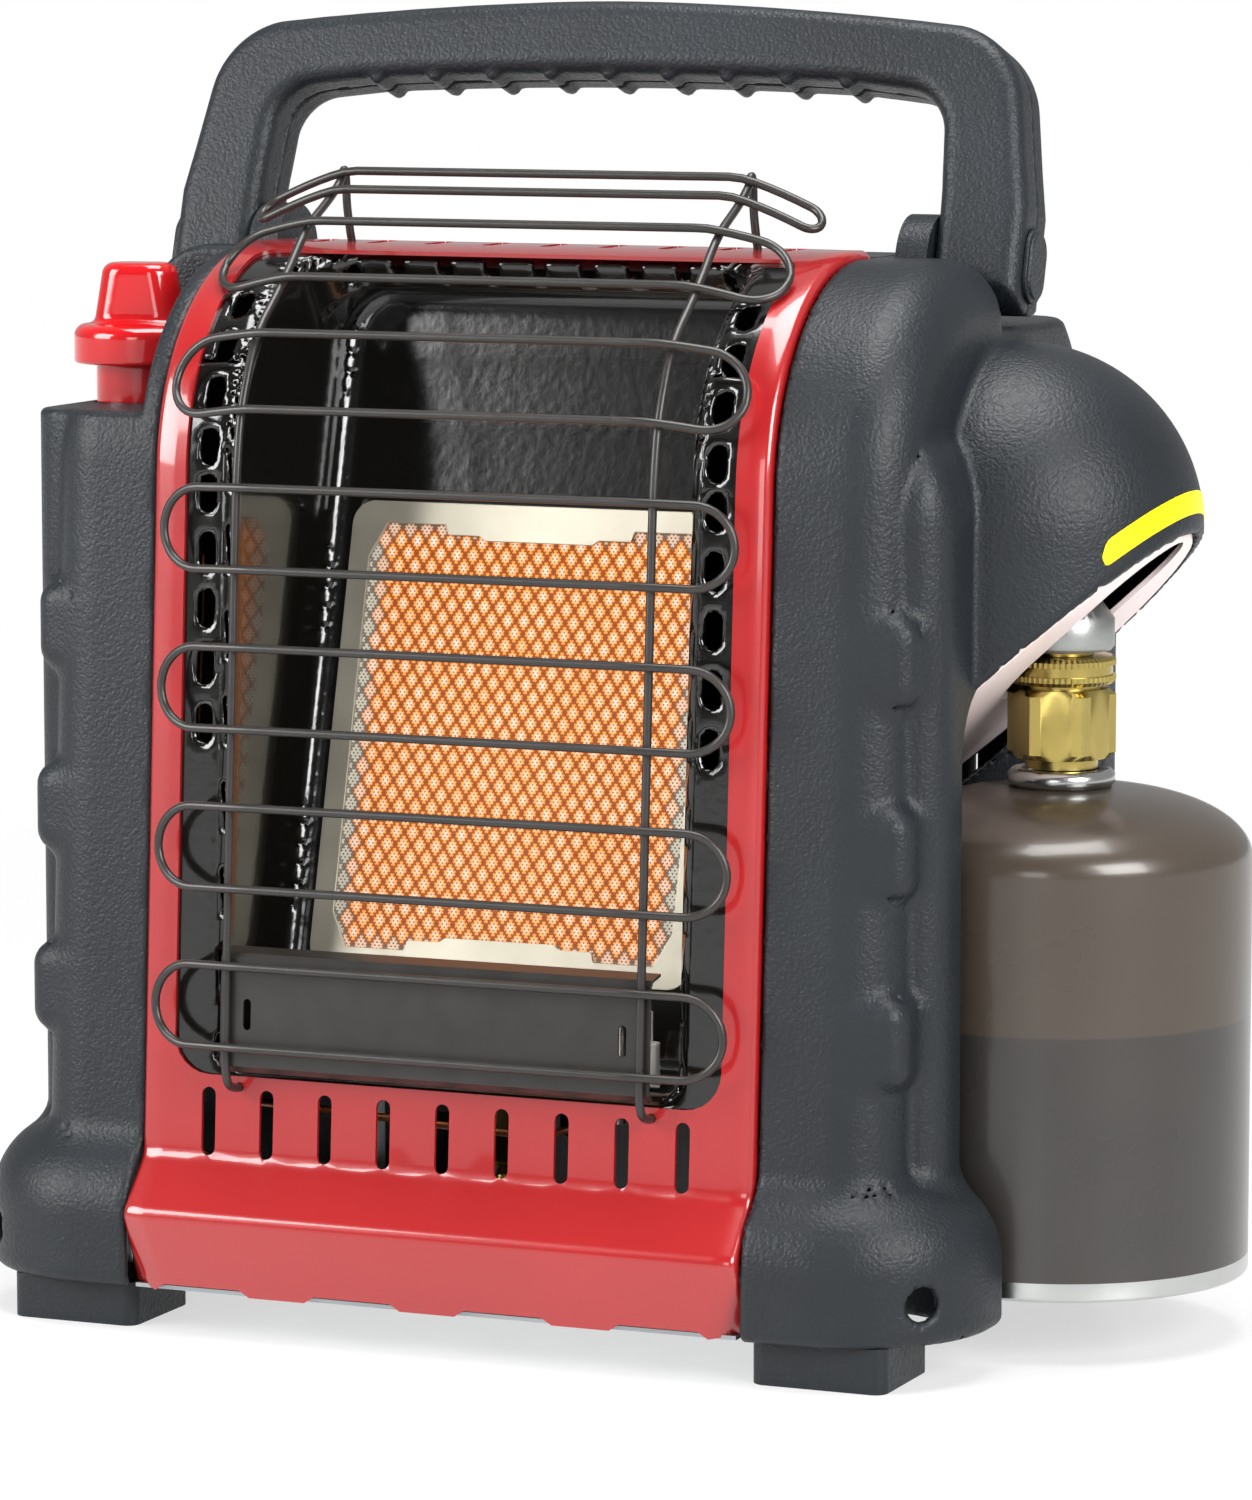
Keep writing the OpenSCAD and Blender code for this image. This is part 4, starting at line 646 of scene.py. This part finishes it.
# four holes along each side of a diamond, 0.55 across, drawn as spots of painted shade
cells = [sums("SUBTRACT", sums("FRACT", sums("MULTIPLY", v, 4.0)), 0.5) for v in (rise, fall)]
hole_x = sums("MULTIPLY", sums("ADD", *cells), 0.65)
hole_t = sums("MULTIPLY", sums("SUBTRACT", *cells), 0.93)
from_hole = sums("SQRT", sums("ADD", sums("MULTIPLY", hole_x, hole_x), sums("MULTIPLY", hole_t, hole_t)))
hole = span(tree, from_hole, 0.22, 0.34, 1.0, 0.0)
# the cool edge follows whole diamonds, so its border is a zigzag
whole_rise, whole_fall = sums("FLOOR", rise), sums("FLOOR", fall)
step_x = sums("MULTIPLY", sums("ADD", whole_rise, sums("ADD", whole_fall, 1.0)), DIAMOND_W / 2)
step_t = sums("MULTIPLY", sums("SUBTRACT", whole_rise, whole_fall), DIAMOND_H / 2)
edge_x = sums("SUBTRACT", 51.0, sums("ABSOLUTE", step_x))
edge_t = sums("SUBTRACT", 62.5, sums("ABSOLUTE", sums("SUBTRACT", step_t, FRAME_L / 2)))
drift = noise(tree, 0.09, 2, place)
heat = sums("MINIMUM", sums("DIVIDE", edge_x, 5.0), sums("DIVIDE", edge_t, 5.0))
heat = sums("ADD", heat, sums("MULTIPLY", sums("SUBTRACT", drift, 0.5), 0.8))
heat = span(tree, heat, -0.1, 0.7)
ramp = add(tree, "ShaderNodeValToRGB", {
    "Fac": sums("MULTIPLY", core, sums("ADD", 0.62, sums("MULTIPLY", drift, 0.5)))})
for stop, code in ((0.0, "#EE7A2C"), (0.35, "#F6943F"), (0.62, "#FFB05A"), (1.0, "#FFD486")):
    mark = ramp.color_ramp.elements.new(stop)
    mark.color = linear(code)
for spare in (0, -1):
    ramp.color_ramp.elements.remove(ramp.color_ramp.elements[spare])
low_down = sums("MULTIPLY", sums("SUBTRACT", 1.0, sums("DIVIDE", up, 150.0)), 0.3)
# painted shade in the grooves and holes: the colour goes towards near-black #15110D there, and their glow is cut
dark = sums("MAXIMUM", sums("MULTIPLY", groove_painted_shade, 0.78), sums("MULTIPLY", hole, 0.85))
dark = sums("SUBTRACT", 1.0, dark, clamp=True)
clay = blend(tree, heat, "#C9C1B0", "#B5602A")
tinted(tree, shader, sums("SUBTRACT", 1.0, dark), clay, "#15110D")
tree.links.new(blend(tree, low_down, ramp.outputs[0], "#F5B48C"), shader.inputs["Emission Color"])
tree.links.new(sums("MULTIPLY", sums("MULTIPLY", heat, dark), 0.86), shader.inputs["Emission Strength"])
corner_x, corner_n, corner_t = np.meshgrid([-58.5, 58.5], [1.2, 12.2], [1.3, FRAME_L - 1.3], indexing="ij")
points = on_burner(corner_x.ravel(), corner_n.ravel(), corner_t.ravel())
faces = [(0, 4, 5, 1), (2, 3, 7, 6), (0, 1, 3, 2), (4, 6, 7, 5), (0, 2, 6, 4), (1, 5, 7, 3)]
tile = piece("ceramic_tile", points, faces, ceramic, "burner_ceramic", "burner_tile", soften=30)
uv = tile.data.uv_layers.new(name="face_mm")
flat_place = np.stack([corner_x.ravel(), corner_t.ravel()], 1)
flat_place = flat_place[[each.vertex_index for each in tile.data.loops]]
uv.data.foreach_set("uv", flat_place.ravel().astype(np.float32))
bevelled(tile, 0.4)
for node in ("burner_plenum", "heat_shield", "base_pan"):
    galvanised = metal("galvanised_sheet_" + node, "#8F9496", "#B9BEC0", 0.4, scale=18)
    dressed(node, galvanised, edge=0.2)
brass = metal("drawn_brass", "#927C38", "#CDBB72", 0.26, scale=30)
for node in ("gas_jet", "gas_valve", "mixer_tube"):
    dressed(node, brass, edge=0.2)
copper = metal("annealed_copper", "#8E5636", "#B47650", 0.3, scale=25)
for node in ("jet_tube", "supply_tube", "pilot_tube"):
    dressed(node, copper, edge=0, soften=50)
pilot_steel = metal("pilot_stainless", "#8F8D87", "#D2CFC8", 0.22, scale=80)
for node in ("pilot_burner", "thermocouple"):
    dressed(node, pilot_steel, edge=0.2)
porcelain, *_ = surface("glazed_porcelain", {
    "Base Color": linear("#EDE9E0"), "Roughness": 0.12, "Coat Weight": 0.5})
dressed("spark_electrode", porcelain, edge=0.2)
moulded, *_ = surface("black_nylon", {"Base Color": linear("#17181A"), "Roughness": 0.45})
for node in ("piezo_igniter", "tip_switch"):
    dressed(node, moulded, edge=0.3)
rear_paint, tree, shader = surface("satin_rear_powder_paint", {
    "Base Color": linear("#24282C"), "Roughness": 0.5})
relief(tree, shader, noise(tree, 900, 2), 0.3)
dressed("rear_cover", rear_paint, edge=0.3)
screw_steel = metal("zinc_plated_screws", "#8D9196", "#C4C8CC", 0.3, scale=120)
for node in ("lug_screws", "foot_screws", "rear_screws", "handle_screws", "handle_pins"):
    dressed(node, screw_steel, edge=0.15)
galvanised = metal("galvanised_bracket", "#8F9496", "#B9BEC0", 0.4, scale=18)
dressed("regulator_bracket", galvanised, edge=0.2)

# ---- Guard ----
# Hoops of round steel wire, welded one above the other to two uprights that hook into the panel
# below and stand on its top; the hoops' ends bend back. Enamelled a warm dark grey, semi-gloss.
GUARD_GAP, WIRE, HOOP_HALF, UPRIGHT_X, HOOK_Z, LEG_Y = 12.0, 1.25, 88.0, 64.2, 72.0, 80.0
BEND_X, UP_IN = UPRIGHT_X - 4, 1.7 * WIRE


def ring_quads(n, sides, closed=False):
    """Quads that join n rings of points, each ring with the same number of sides, one after the
    other; a closed run also joins its last ring to its first."""
    rows, cols = np.meshgrid(np.arange(n if closed else n - 1), np.arange(sides), indexing="ij")
    here, ahead, beside = rows * sides, (rows + 1) % n * sides, (cols + 1) % sides
    return np.stack([here + cols, here + beside, ahead + beside, ahead + cols], -1).reshape(-1, 4)


def tube(paths, radius, sides=14):
    """Round wire swept along paths of points in space, each a pair (points, closed). Rings stand
    square to the path and share one sideways direction, so the wire does not twist."""
    points, faces, start = [], [], 0
    around = np.linspace(0, 2 * np.pi, sides, endpoint=False)[None, :, None]
    for path, closed in paths:
        path = np.asarray(path, float)
        ahead = np.roll(path, -1, 0) - np.roll(path, 1, 0) if closed else np.gradient(path, axis=0)
        ahead /= np.linalg.norm(ahead, axis=1)[:, None]
        side = np.cross(ahead, (0.04, 0.62, 0.78) if closed else (1, 0.02, 0.01))
        side /= np.linalg.norm(side, axis=1)[:, None]
        other = np.cross(ahead, side)
        ring = np.cos(around) * side[:, None] + np.sin(around) * other[:, None]
        n = len(path)
        faces += (start + ring_quads(n, sides, closed)).tolist()
        if not closed:
            last = start + (n - 1) * sides
            faces += [list(range(start, start + sides))[::-1], list(range(last, last + sides))]
        points.append((path[:, None] + radius * ring).reshape(-1, 3))
        start += n * sides
    return np.concatenate(points), faces


def surf(u, g):
    """The place in the YZ plane that is g in front of the panel's face, u along it from the fold."""
    if u < STRAIGHT:
        return np.array([u * math.sin(LEAN) - g * math.cos(LEAN),
                         FOLD_Z + u * math.cos(LEAN) + g * math.sin(LEAN)])
    a = math.pi - LEAN - (u - STRAIGHT) / (ROLL_R + g)
    return np.array([ROLL_Y, ROLL_Z]) + (ROLL_R + g) * np.array([math.cos(a), math.sin(a)])


def hoop_at(hoop, x, s, g=0.0):
    """A point on a hoop at x, s along its slope from its middle and g behind its wire; beyond the
    uprights it goes back and down by a power of 1.3 of the way out."""
    (y, z), slope, height, back, down = hoop
    x, s = np.broadcast_arrays(np.asarray(x, float), s)
    t = (np.maximum(0, np.abs(x) - BEND_X) / (HOOP_HALF - BEND_X)) ** 1.3
    along, behind = s - down * t, back * t + g
    return np.stack([x, y + along * math.sin(slope) + behind * math.cos(slope),
                     z + along * math.cos(slope) - behind * math.sin(slope)], -1)


HOOP_FIRST, HOOP_PITCH, HOOP_H = 45.3, 45.5, 23.3
hoops = []
for i, (nearer, back, down) in enumerate(4 * [(0, 5, 0.5)] + [(1, 6, 1.5)]):
    u, g = HOOP_FIRST + HOOP_PITCH * i, GUARD_GAP - nearer
    slope = LEAN + max(0.0, u - STRAIGHT) / (ROLL_R + g)
    hoops.append((surf(u, g), slope, HOOP_H, back, down))
for reach, turned, slope, *rest in ((10.0, 120.0, 46.0, 22.0, 7.6, 1.4), (19.0, 96.5, 56.0, 9.0, 9.0, 5.3)):
    spoke = np.array([math.cos(math.radians(turned)), math.sin(math.radians(turned))])
    hoops.append((np.array([ROLL_Y, ROLL_Z]) + (ROLL_R + reach) * spoke, math.radians(slope), *rest))
wires = []
for hoop in hoops:
    r = hoop[2] / 2
    c = HOOP_HALF - r
    straight_x = np.linspace(-c, c, 41)
    arc = np.radians(np.linspace(90, -90, 19)[1:-1])
    end_x, end_s = c + r * np.cos(arc), r * np.sin(arc)
    sides = ((straight_x, r), (end_x, end_s), (straight_x[::-1], -r), (-end_x, -end_s))
    wires.append((np.concatenate([hoop_at(hoop, *side) for side in sides]), True))
for x in (-UPRIGHT_X, UPRIGHT_X):
    rear = hoop_at(hoops[-1], x, hoops[-1][2] / 2, UP_IN)
    face = (HOOK_Z - FOLD_Z) * math.tan(LEAN)
    knots = [(x, face + 0.9, HOOK_Z), (x, -1, HOOK_Z), (x, -5.4, HOOK_Z + 1.4), (x, -7.4, HOOK_Z + 5)]
    knots += [tuple(hoop_at(hoop, x, way * hoop[2] / 2, UP_IN)) for hoop in hoops for way in (-1, 1)]
    knots += [tuple(rear + over) for over in ((0, 0.9, 2.3), (0, 2, 2.9), (0, 3, 1))]
    knots += [(x, LEG_Y - 3.6, TOP_Z + 11), (x, LEG_Y - 1.4, TOP_Z + 3),
              (x, LEG_Y, TOP_Z - 0.5), (x, LEG_Y, TOP_Z - 4)]
    knots = np.array(knots)
    for _ in range(2):
        # corner cutting: each span keeps its middle three fifths, so the wire turns in small steps
        here, there = knots[:-1], knots[1:]
        cut = np.stack([0.8 * here + 0.2 * there, 0.2 * here + 0.8 * there], 1).reshape(-1, 3)
        knots = np.concatenate([knots[:1], cut, knots[-1:]])
    wires.append((knots, False))
guard_black = metal("enamelled_guard_wire", "#1E1C1A", "#2B2825", 0.34, metallic=0.0, scale=90)
points, faces = tube(wires, WIRE)
piece("guard_wires", points, faces, guard_black, "guard_black", "wire_guard")
dressed("guard_plate", guard_black, edge=0.25)

# ---- Dome plate ----
# A pale pressed plate closes the dome above the canister, tilted, with a slot for the regulator.
# A blank film of yellow vinyl is bonded to the dome just above its rim.
plate_pink = metal("painted_dome_plate", "#E2CFCD", "#EBDDDB", 0.42, metallic=0.1, scale=20)
dressed("dome_plate", plate_pink, edge=0.3)
yellow_film, *_ = surface("yellow_vinyl_film", {"Base Color": linear("#F0E000"), "Roughness": 0.35})
# the film runs above the dome's rim and parallel to it, round its outer side
FILM_FROM, FILM_TO, FILM_MID, FILM_HALF = math.radians(-44), math.radians(28), 6.2, 2.7
FILM_RINGS, FILM_ROWS, FILM_PROUD = 72, 6, 0.3
azimuth = np.linspace(FILM_FROM, FILM_TO, FILM_RINGS)
to_end = 1 - np.minimum(azimuth - FILM_FROM, FILM_TO - azimuth) * DOME_R / FILM_HALF
half = FILM_HALF * np.sqrt(np.maximum(1 - np.maximum(to_end, 0) ** 2, 0.004))
rise = FILM_MID + half[:, None] * np.linspace(-1, 1, FILM_ROWS)
sheets = []
for proud in (FILM_PROUD, -FILM_PROUD):
    r = np.full(rise.shape, DOME_R)
    for _ in range(8):
        x = DOME_X + r * np.cos(azimuth)[:, None]
        z = PLATE_Z + math.tan(PLATE_SLOPE) * (x - CAN_X) + rise / math.cos(PLATE_SLOPE)
        r = np.sqrt((DOME_R + proud) ** 2 - np.maximum(z - DOME_Z, 0) ** 2)
    sheets.append(np.stack([x, CAN_Y + r * np.sin(azimuth)[:, None], z], -1))
ring = np.concatenate([sheets[0], sheets[1][:, ::-1]], 1)
sides = 2 * FILM_ROWS
faces = ring_quads(FILM_RINGS, sides)[:, ::-1].tolist()
faces += [list(range(sides)), list(range((FILM_RINGS - 1) * sides, FILM_RINGS * sides))[::-1]]
piece("yellow_film_strip", ring.reshape(-1, 3), faces, yellow_film, "plate_pink", "right_side_cover",
      soften=40, swap=False)

# ---- Handle ----
# Two injection-moulded halves of the same grained ABS, screwed together front to back along a seam,
# with nine finger ribs under the grip. It folds back on steel pins under oval caps.
ARM_IN, ARM_OUT, ARM_FOOT, HANDLE_H, HANDLE_HALF = 108.5, 135.0, -16.4, 75.9, 12.0
GRIP_T, CROWN, TAPER, CORNER_R, INNER_R = 22.2, 6.3, 5.0, 26.3, 14.0
HANDLE_LEAN, RIB_PITCH = math.radians(17), 18.8


def bend(cx, cz, r, first, last):
    """Points of an arc in the handle's plane."""
    a = np.radians(np.linspace(first, last, 16))
    return np.stack([cx + r * np.cos(a), cz + r * np.sin(a)], 1)


def under_grip(x):
    """Height of the grip's underside at x: a parabola, lower at the ends than in the middle."""
    return HANDLE_H - GRIP_T - 0.6 * CROWN * (x / ARM_IN) ** 2


under, over = np.linspace(0, 78, 12), np.linspace(0, 96, 14)
hand_shape = np.concatenate([
    np.stack([over, HANDLE_H - CROWN * 0.86 * (over / 96) ** 1.7], 1),
    bend(ARM_OUT - TAPER - CORNER_R, HANDLE_H - CROWN - CORNER_R, CORNER_R, 78, 8),
    [(ARM_OUT - TAPER / 2, 30), (ARM_OUT, 16), (ARM_OUT, ARM_FOOT)],
    [(ARM_IN, ARM_FOOT), (ARM_IN, 12), (ARM_IN - 0.3, 20)],
    bend(ARM_IN - 0.3 * TAPER - INNER_R, under_grip(ARM_IN) - INNER_R, INNER_R, 8, 84),
    np.stack([under, under_grip(under)], 1)[::-1]])
hand_shape = np.concatenate([hand_shape, (hand_shape * [-1, 1])[-2:0:-1]])


def ring_distance(x, z, ring):
    """Signed distance from a closed ring of points: the nearest span, negative inside the ring."""
    a, b = ring, np.roll(ring, -1, 0)
    near, odd = np.full(x.shape, 1e9), np.zeros(x.shape, bool)
    for (ax, az), (bx, bz) in zip(a.tolist(), b.tolist()):
        k = np.clip(((x - ax) * (bx - ax) + (z - az) * (bz - az)) / ((bx - ax) ** 2 + (bz - az) ** 2), 0, 1)
        near = np.minimum(near, np.hypot(x - ax - k * (bx - ax), z - az - k * (bz - az)))
        if az != bz:
            odd ^= ((az > z) != (bz > z)) & (x < ax + (z - az) * (bx - ax) / (bz - az))
    return np.where(odd, -near, near)


def handle_half(x, n, t, way):
    """One half of the handle in its own axes: n behind the seam, t up the arms; way is its side."""
    form = round_max(ring_distance(x, t, hand_shape), np.abs(n) - HANDLE_HALF, 5)
    form = np.maximum(form, np.where(t < 0, np.hypot(n, t), np.abs(n)) - 14.4)
    pitch = np.clip(np.round(x / RIB_PITCH), -4, 4) * RIB_PITCH
    rib = round_max(np.hypot(x - pitch, t - under_grip(pitch) - 0.3) - 2.3, np.abs(n) - 9.5, 1.5)
    form = round_min(form, rib, 1.0)
    form = np.maximum(form, 0.12 - way * n)
    form = np.maximum(form, -np.maximum(np.hypot(n, t) - 4, 99.5 - np.abs(x)))
    # the screws go in from behind
    for at in (-118, -60, 0, 60, 118) if way > 0 else ():
        drilled = np.hypot(x - at, t - (36 if abs(at) > 100 else HANDLE_H - GRIP_T / 2 + 0.5))
        form = np.maximum(form, -np.maximum(drilled - 3.4, 7 - n))
    return form


def from_handle(points):
    """Points in the handle's own axes, at rest, in the maker's frame."""
    x, n, t = points.T
    return np.stack([x, PIVOT_Y + n * math.cos(HANDLE_LEAN) + t * math.sin(HANDLE_LEAN),
                     PIVOT_Z - n * math.sin(HANDLE_LEAN) + t * math.cos(HANDLE_LEAN)], 1)


cell = 1.25
for name, node, way, front, back in (("handle_front_half", "handle_front", -1, -13.5, 0.7),
                                     ("handle_rear_half", "handle_rear", 1, -0.7, 13.5)):
    points, faces = skin_of(lambda *at: handle_half(*at, way), (-138, front, -16), (138, back, 79), cell)
    piece(name, from_handle(points), faces, abs_plastic, "cover_plastic", node)
dressed("handle_caps", abs_plastic, edge=0.5)

# ---- Knob ----
# Glossy red thermoset, pressed in a polished mould: a sleeve, a wide flange and a round-ended bar
# to turn it by. It is pressed on the valve's steel stem, over a return spring.
KNOB_LAY = math.radians(190)


def knob(x, y, z):
    """The knob's solid: a turned sleeve, a flange with a conical top and a bar that narrows upward,
    less the stem's bore."""
    x, y = x - KNOB_X, y - KNOB_Y
    r = np.hypot(x, y)
    sleeve = round_max(r - 13, 262 - z, 0.8)
    flange = round_max(round_max(r - 19.5, z - 288.6 + 0.13 * r, 3), 275 - z, 1)
    along = x * math.cos(KNOB_LAY) + y * math.sin(KNOB_LAY)
    across = y * math.cos(KNOB_LAY) - x * math.sin(KNOB_LAY)
    reach = 6.25 - 0.17 * np.maximum(z - 287, 0)
    bar = round_max(np.hypot(np.maximum(np.abs(along) - reach, 0), across) - 7.5, z - 304.5, 3)
    form = round_min(round_min(np.maximum(sleeve, z - 280), flange, 0.8), np.maximum(bar, 280 - z), 1.5)
    bore = np.minimum(np.maximum(r - 10, z - 270), np.maximum(r - 4.05, z - 284))
    return np.maximum(form, -bore)


knob_red, tree, shader = surface("polished_red_thermoset", {
    "Base Color": linear("#B01116"), "Roughness": 0.14, "IOR": 1.54, "Coat Weight": 0.4, "Coat Roughness": 0.03})
relief(tree, shader, noise(tree, 160, 2), 0.05)
cell = 0.7
points, faces = skin_of(knob, (KNOB_X - 21, KNOB_Y - 21, 260), (KNOB_X + 21, KNOB_Y + 21, 307), cell)
piece("turned_knob", points, faces, knob_red, "knob_red", "control_knob")
dressed("valve_stem", screw_steel, edge=0.2)
dressed("knob_spring", screw_steel, edge=0, soften=60)

# ---- Regulator and gas canister ----
# A die-cast zinc regulator swings under the dome. A knurled brass ring and a hex adapter join it to
# the canister's neck. The canister is drawn steel, sprayed in two browns, on a bare rolled rim.
CAN_R, CAN_BASE, CAN_TOP, NECK_Z = 55.0, 18.5, 138.5, 158.5
NUT_Z, NUT_H, NUT_R, RING_Z = 166.7, 20.0, 15.7, 188.1


def lathe(profile, sides=128, lobes=None):
    """A body of revolution about the canister's axis from a profile of radius and height. A lobes
    function, given radius, height and angle, may change the radius, for flats and for knurls."""
    profile = np.asarray(profile, float)
    angle = np.linspace(0, 2 * np.pi, sides, endpoint=False)
    r, a = np.meshgrid(profile[:, 0], angle, indexing="ij")
    z = np.repeat(profile[:, 1:], sides, 1)
    if lobes:
        r = lobes(r, z, a)
    points = np.stack([CAN_X + r * np.cos(a), CAN_Y + r * np.sin(a), z], -1).reshape(-1, 3)
    caps = [list(range(sides))[::-1], list(range(len(points) - sides, len(points)))]
    return points, ring_quads(len(profile), sides).tolist() + caps


canister_paint, tree, shader = surface("sprayed_canister_paint", {
    "IOR": 1.5, "Metallic": 0.15, "Coat Weight": 0.35, "Coat Roughness": 0.12})
place = add(tree, "ShaderNodeTexCoord").outputs["Object"]
height = add(tree, "ShaderNodeSeparateXYZ", {0: place}).outputs["Z"]
cloud = noise(tree, 22, 4)
# the lighter brown begins 93.5 mm above the floor
two_tone = blend(tree, span(tree, height, 0.0935, 0.0940), "#2C2A29", "#40372F")
tinted(tree, shader, sums("MULTIPLY", cloud, 0.25), two_tone, "#585048")
tree.links.new(span(tree, cloud, 0, 1, 0.22, 0.36), shader.inputs["Roughness"])
turn = np.radians(np.linspace(0, 80, 24))
shoulder = np.stack([14 + 41 * np.cos(turn), CAN_TOP + 19.6 * np.sin(turn)], 1)
side = [(0.05, CAN_BASE + 9), (43, CAN_BASE + 6), (51, CAN_BASE + 5.5), (CAN_R, CAN_BASE + 5.5), (CAN_R, CAN_TOP)]
points, faces = lathe(np.concatenate([side, shoulder[1:], [(13.5, NECK_Z), (0.05, NECK_Z)]]))
piece("canister_shell", points, faces, canister_paint, "canister_paint", "canister", soften=40)
rim_steel = metal("rolled_rim_steel", "#A7A9A8", "#D2D3D1", 0.24, scale=60)
rim = [(51, 24), (51, CAN_BASE), (CAN_R, CAN_BASE), (CAN_R, 24)]
rim = rounded(rim, [1.2, 1.2], 0.4)
points, _ = lathe(rim)
faces = ring_quads(len(rim), len(points) // len(rim), closed=True)
piece("rolled_rim", points, faces, rim_steel, "rim_steel", "canister_rim", soften=50)
zinc = metal("die_cast_zinc", "#8C8E8D", "#B5B7B4", 0.42, scale=70, bump=0.1)
dressed("canister_collar", rim_steel, edge=0.3)
dressed("canister_valve", brass, edge=0.2)
dressed("adapter_stud", brass, edge=0.2)
dressed("regulator", zinc, edge=0.5)


def knurl(r, z, a):
    """Sixty fine teeth, 0.35 deep, on whatever stands outside a radius of 15.2."""
    return np.where(r > 15.2, r - 0.35 * np.abs(np.sin(30 * a)), r)


def hexagon(r, z, a):
    """Six flats over the nut's height; the profile's own cone turns the corners off."""
    across = (a - math.radians(13)) % (math.pi / 3) - math.pi / 6
    flat = NUT_R * math.cos(math.pi / 6) / np.cos(across)
    return np.where((z >= NUT_Z) & (z <= NUT_Z + NUT_H), np.minimum(r, flat), r)


ring_profile = np.array([(6, 0), (14.4, 0), (15.5, 1.1), (15.5, 2.6), (14.6, 2.7), (14.6, 5.3),
                         (15.5, 5.4), (15.5, 6.9), (14.4, 8), (6, 8), (6, 0)]) + [0, RING_Z]
points, faces = lathe(ring_profile, 360, knurl)
piece("knurled_ring", points, faces[:-2], brass, "brass", "adapter_collar", soften=28)
STUD_Z = NECK_Z + 5.3
nut_profile = [(5.6, STUD_Z), (10.5, STUD_Z), (10.5, NUT_Z), (13.4, NUT_Z), (NUT_R, NUT_Z + 1.6),
               (NUT_R, NUT_Z + 18.4), (13.4, NUT_Z + NUT_H), (11, NUT_Z + NUT_H), (11, NUT_Z + 21.4),
               (6, NUT_Z + 21.4), (6, NUT_Z + 13.8), (5.6, NUT_Z + 13.8), (5.6, STUD_Z)]
points, faces = lathe(nut_profile, 240, hexagon)
piece("hex_adapter", points, faces[:-2], brass, "brass", "adapter_nut", soften=28)
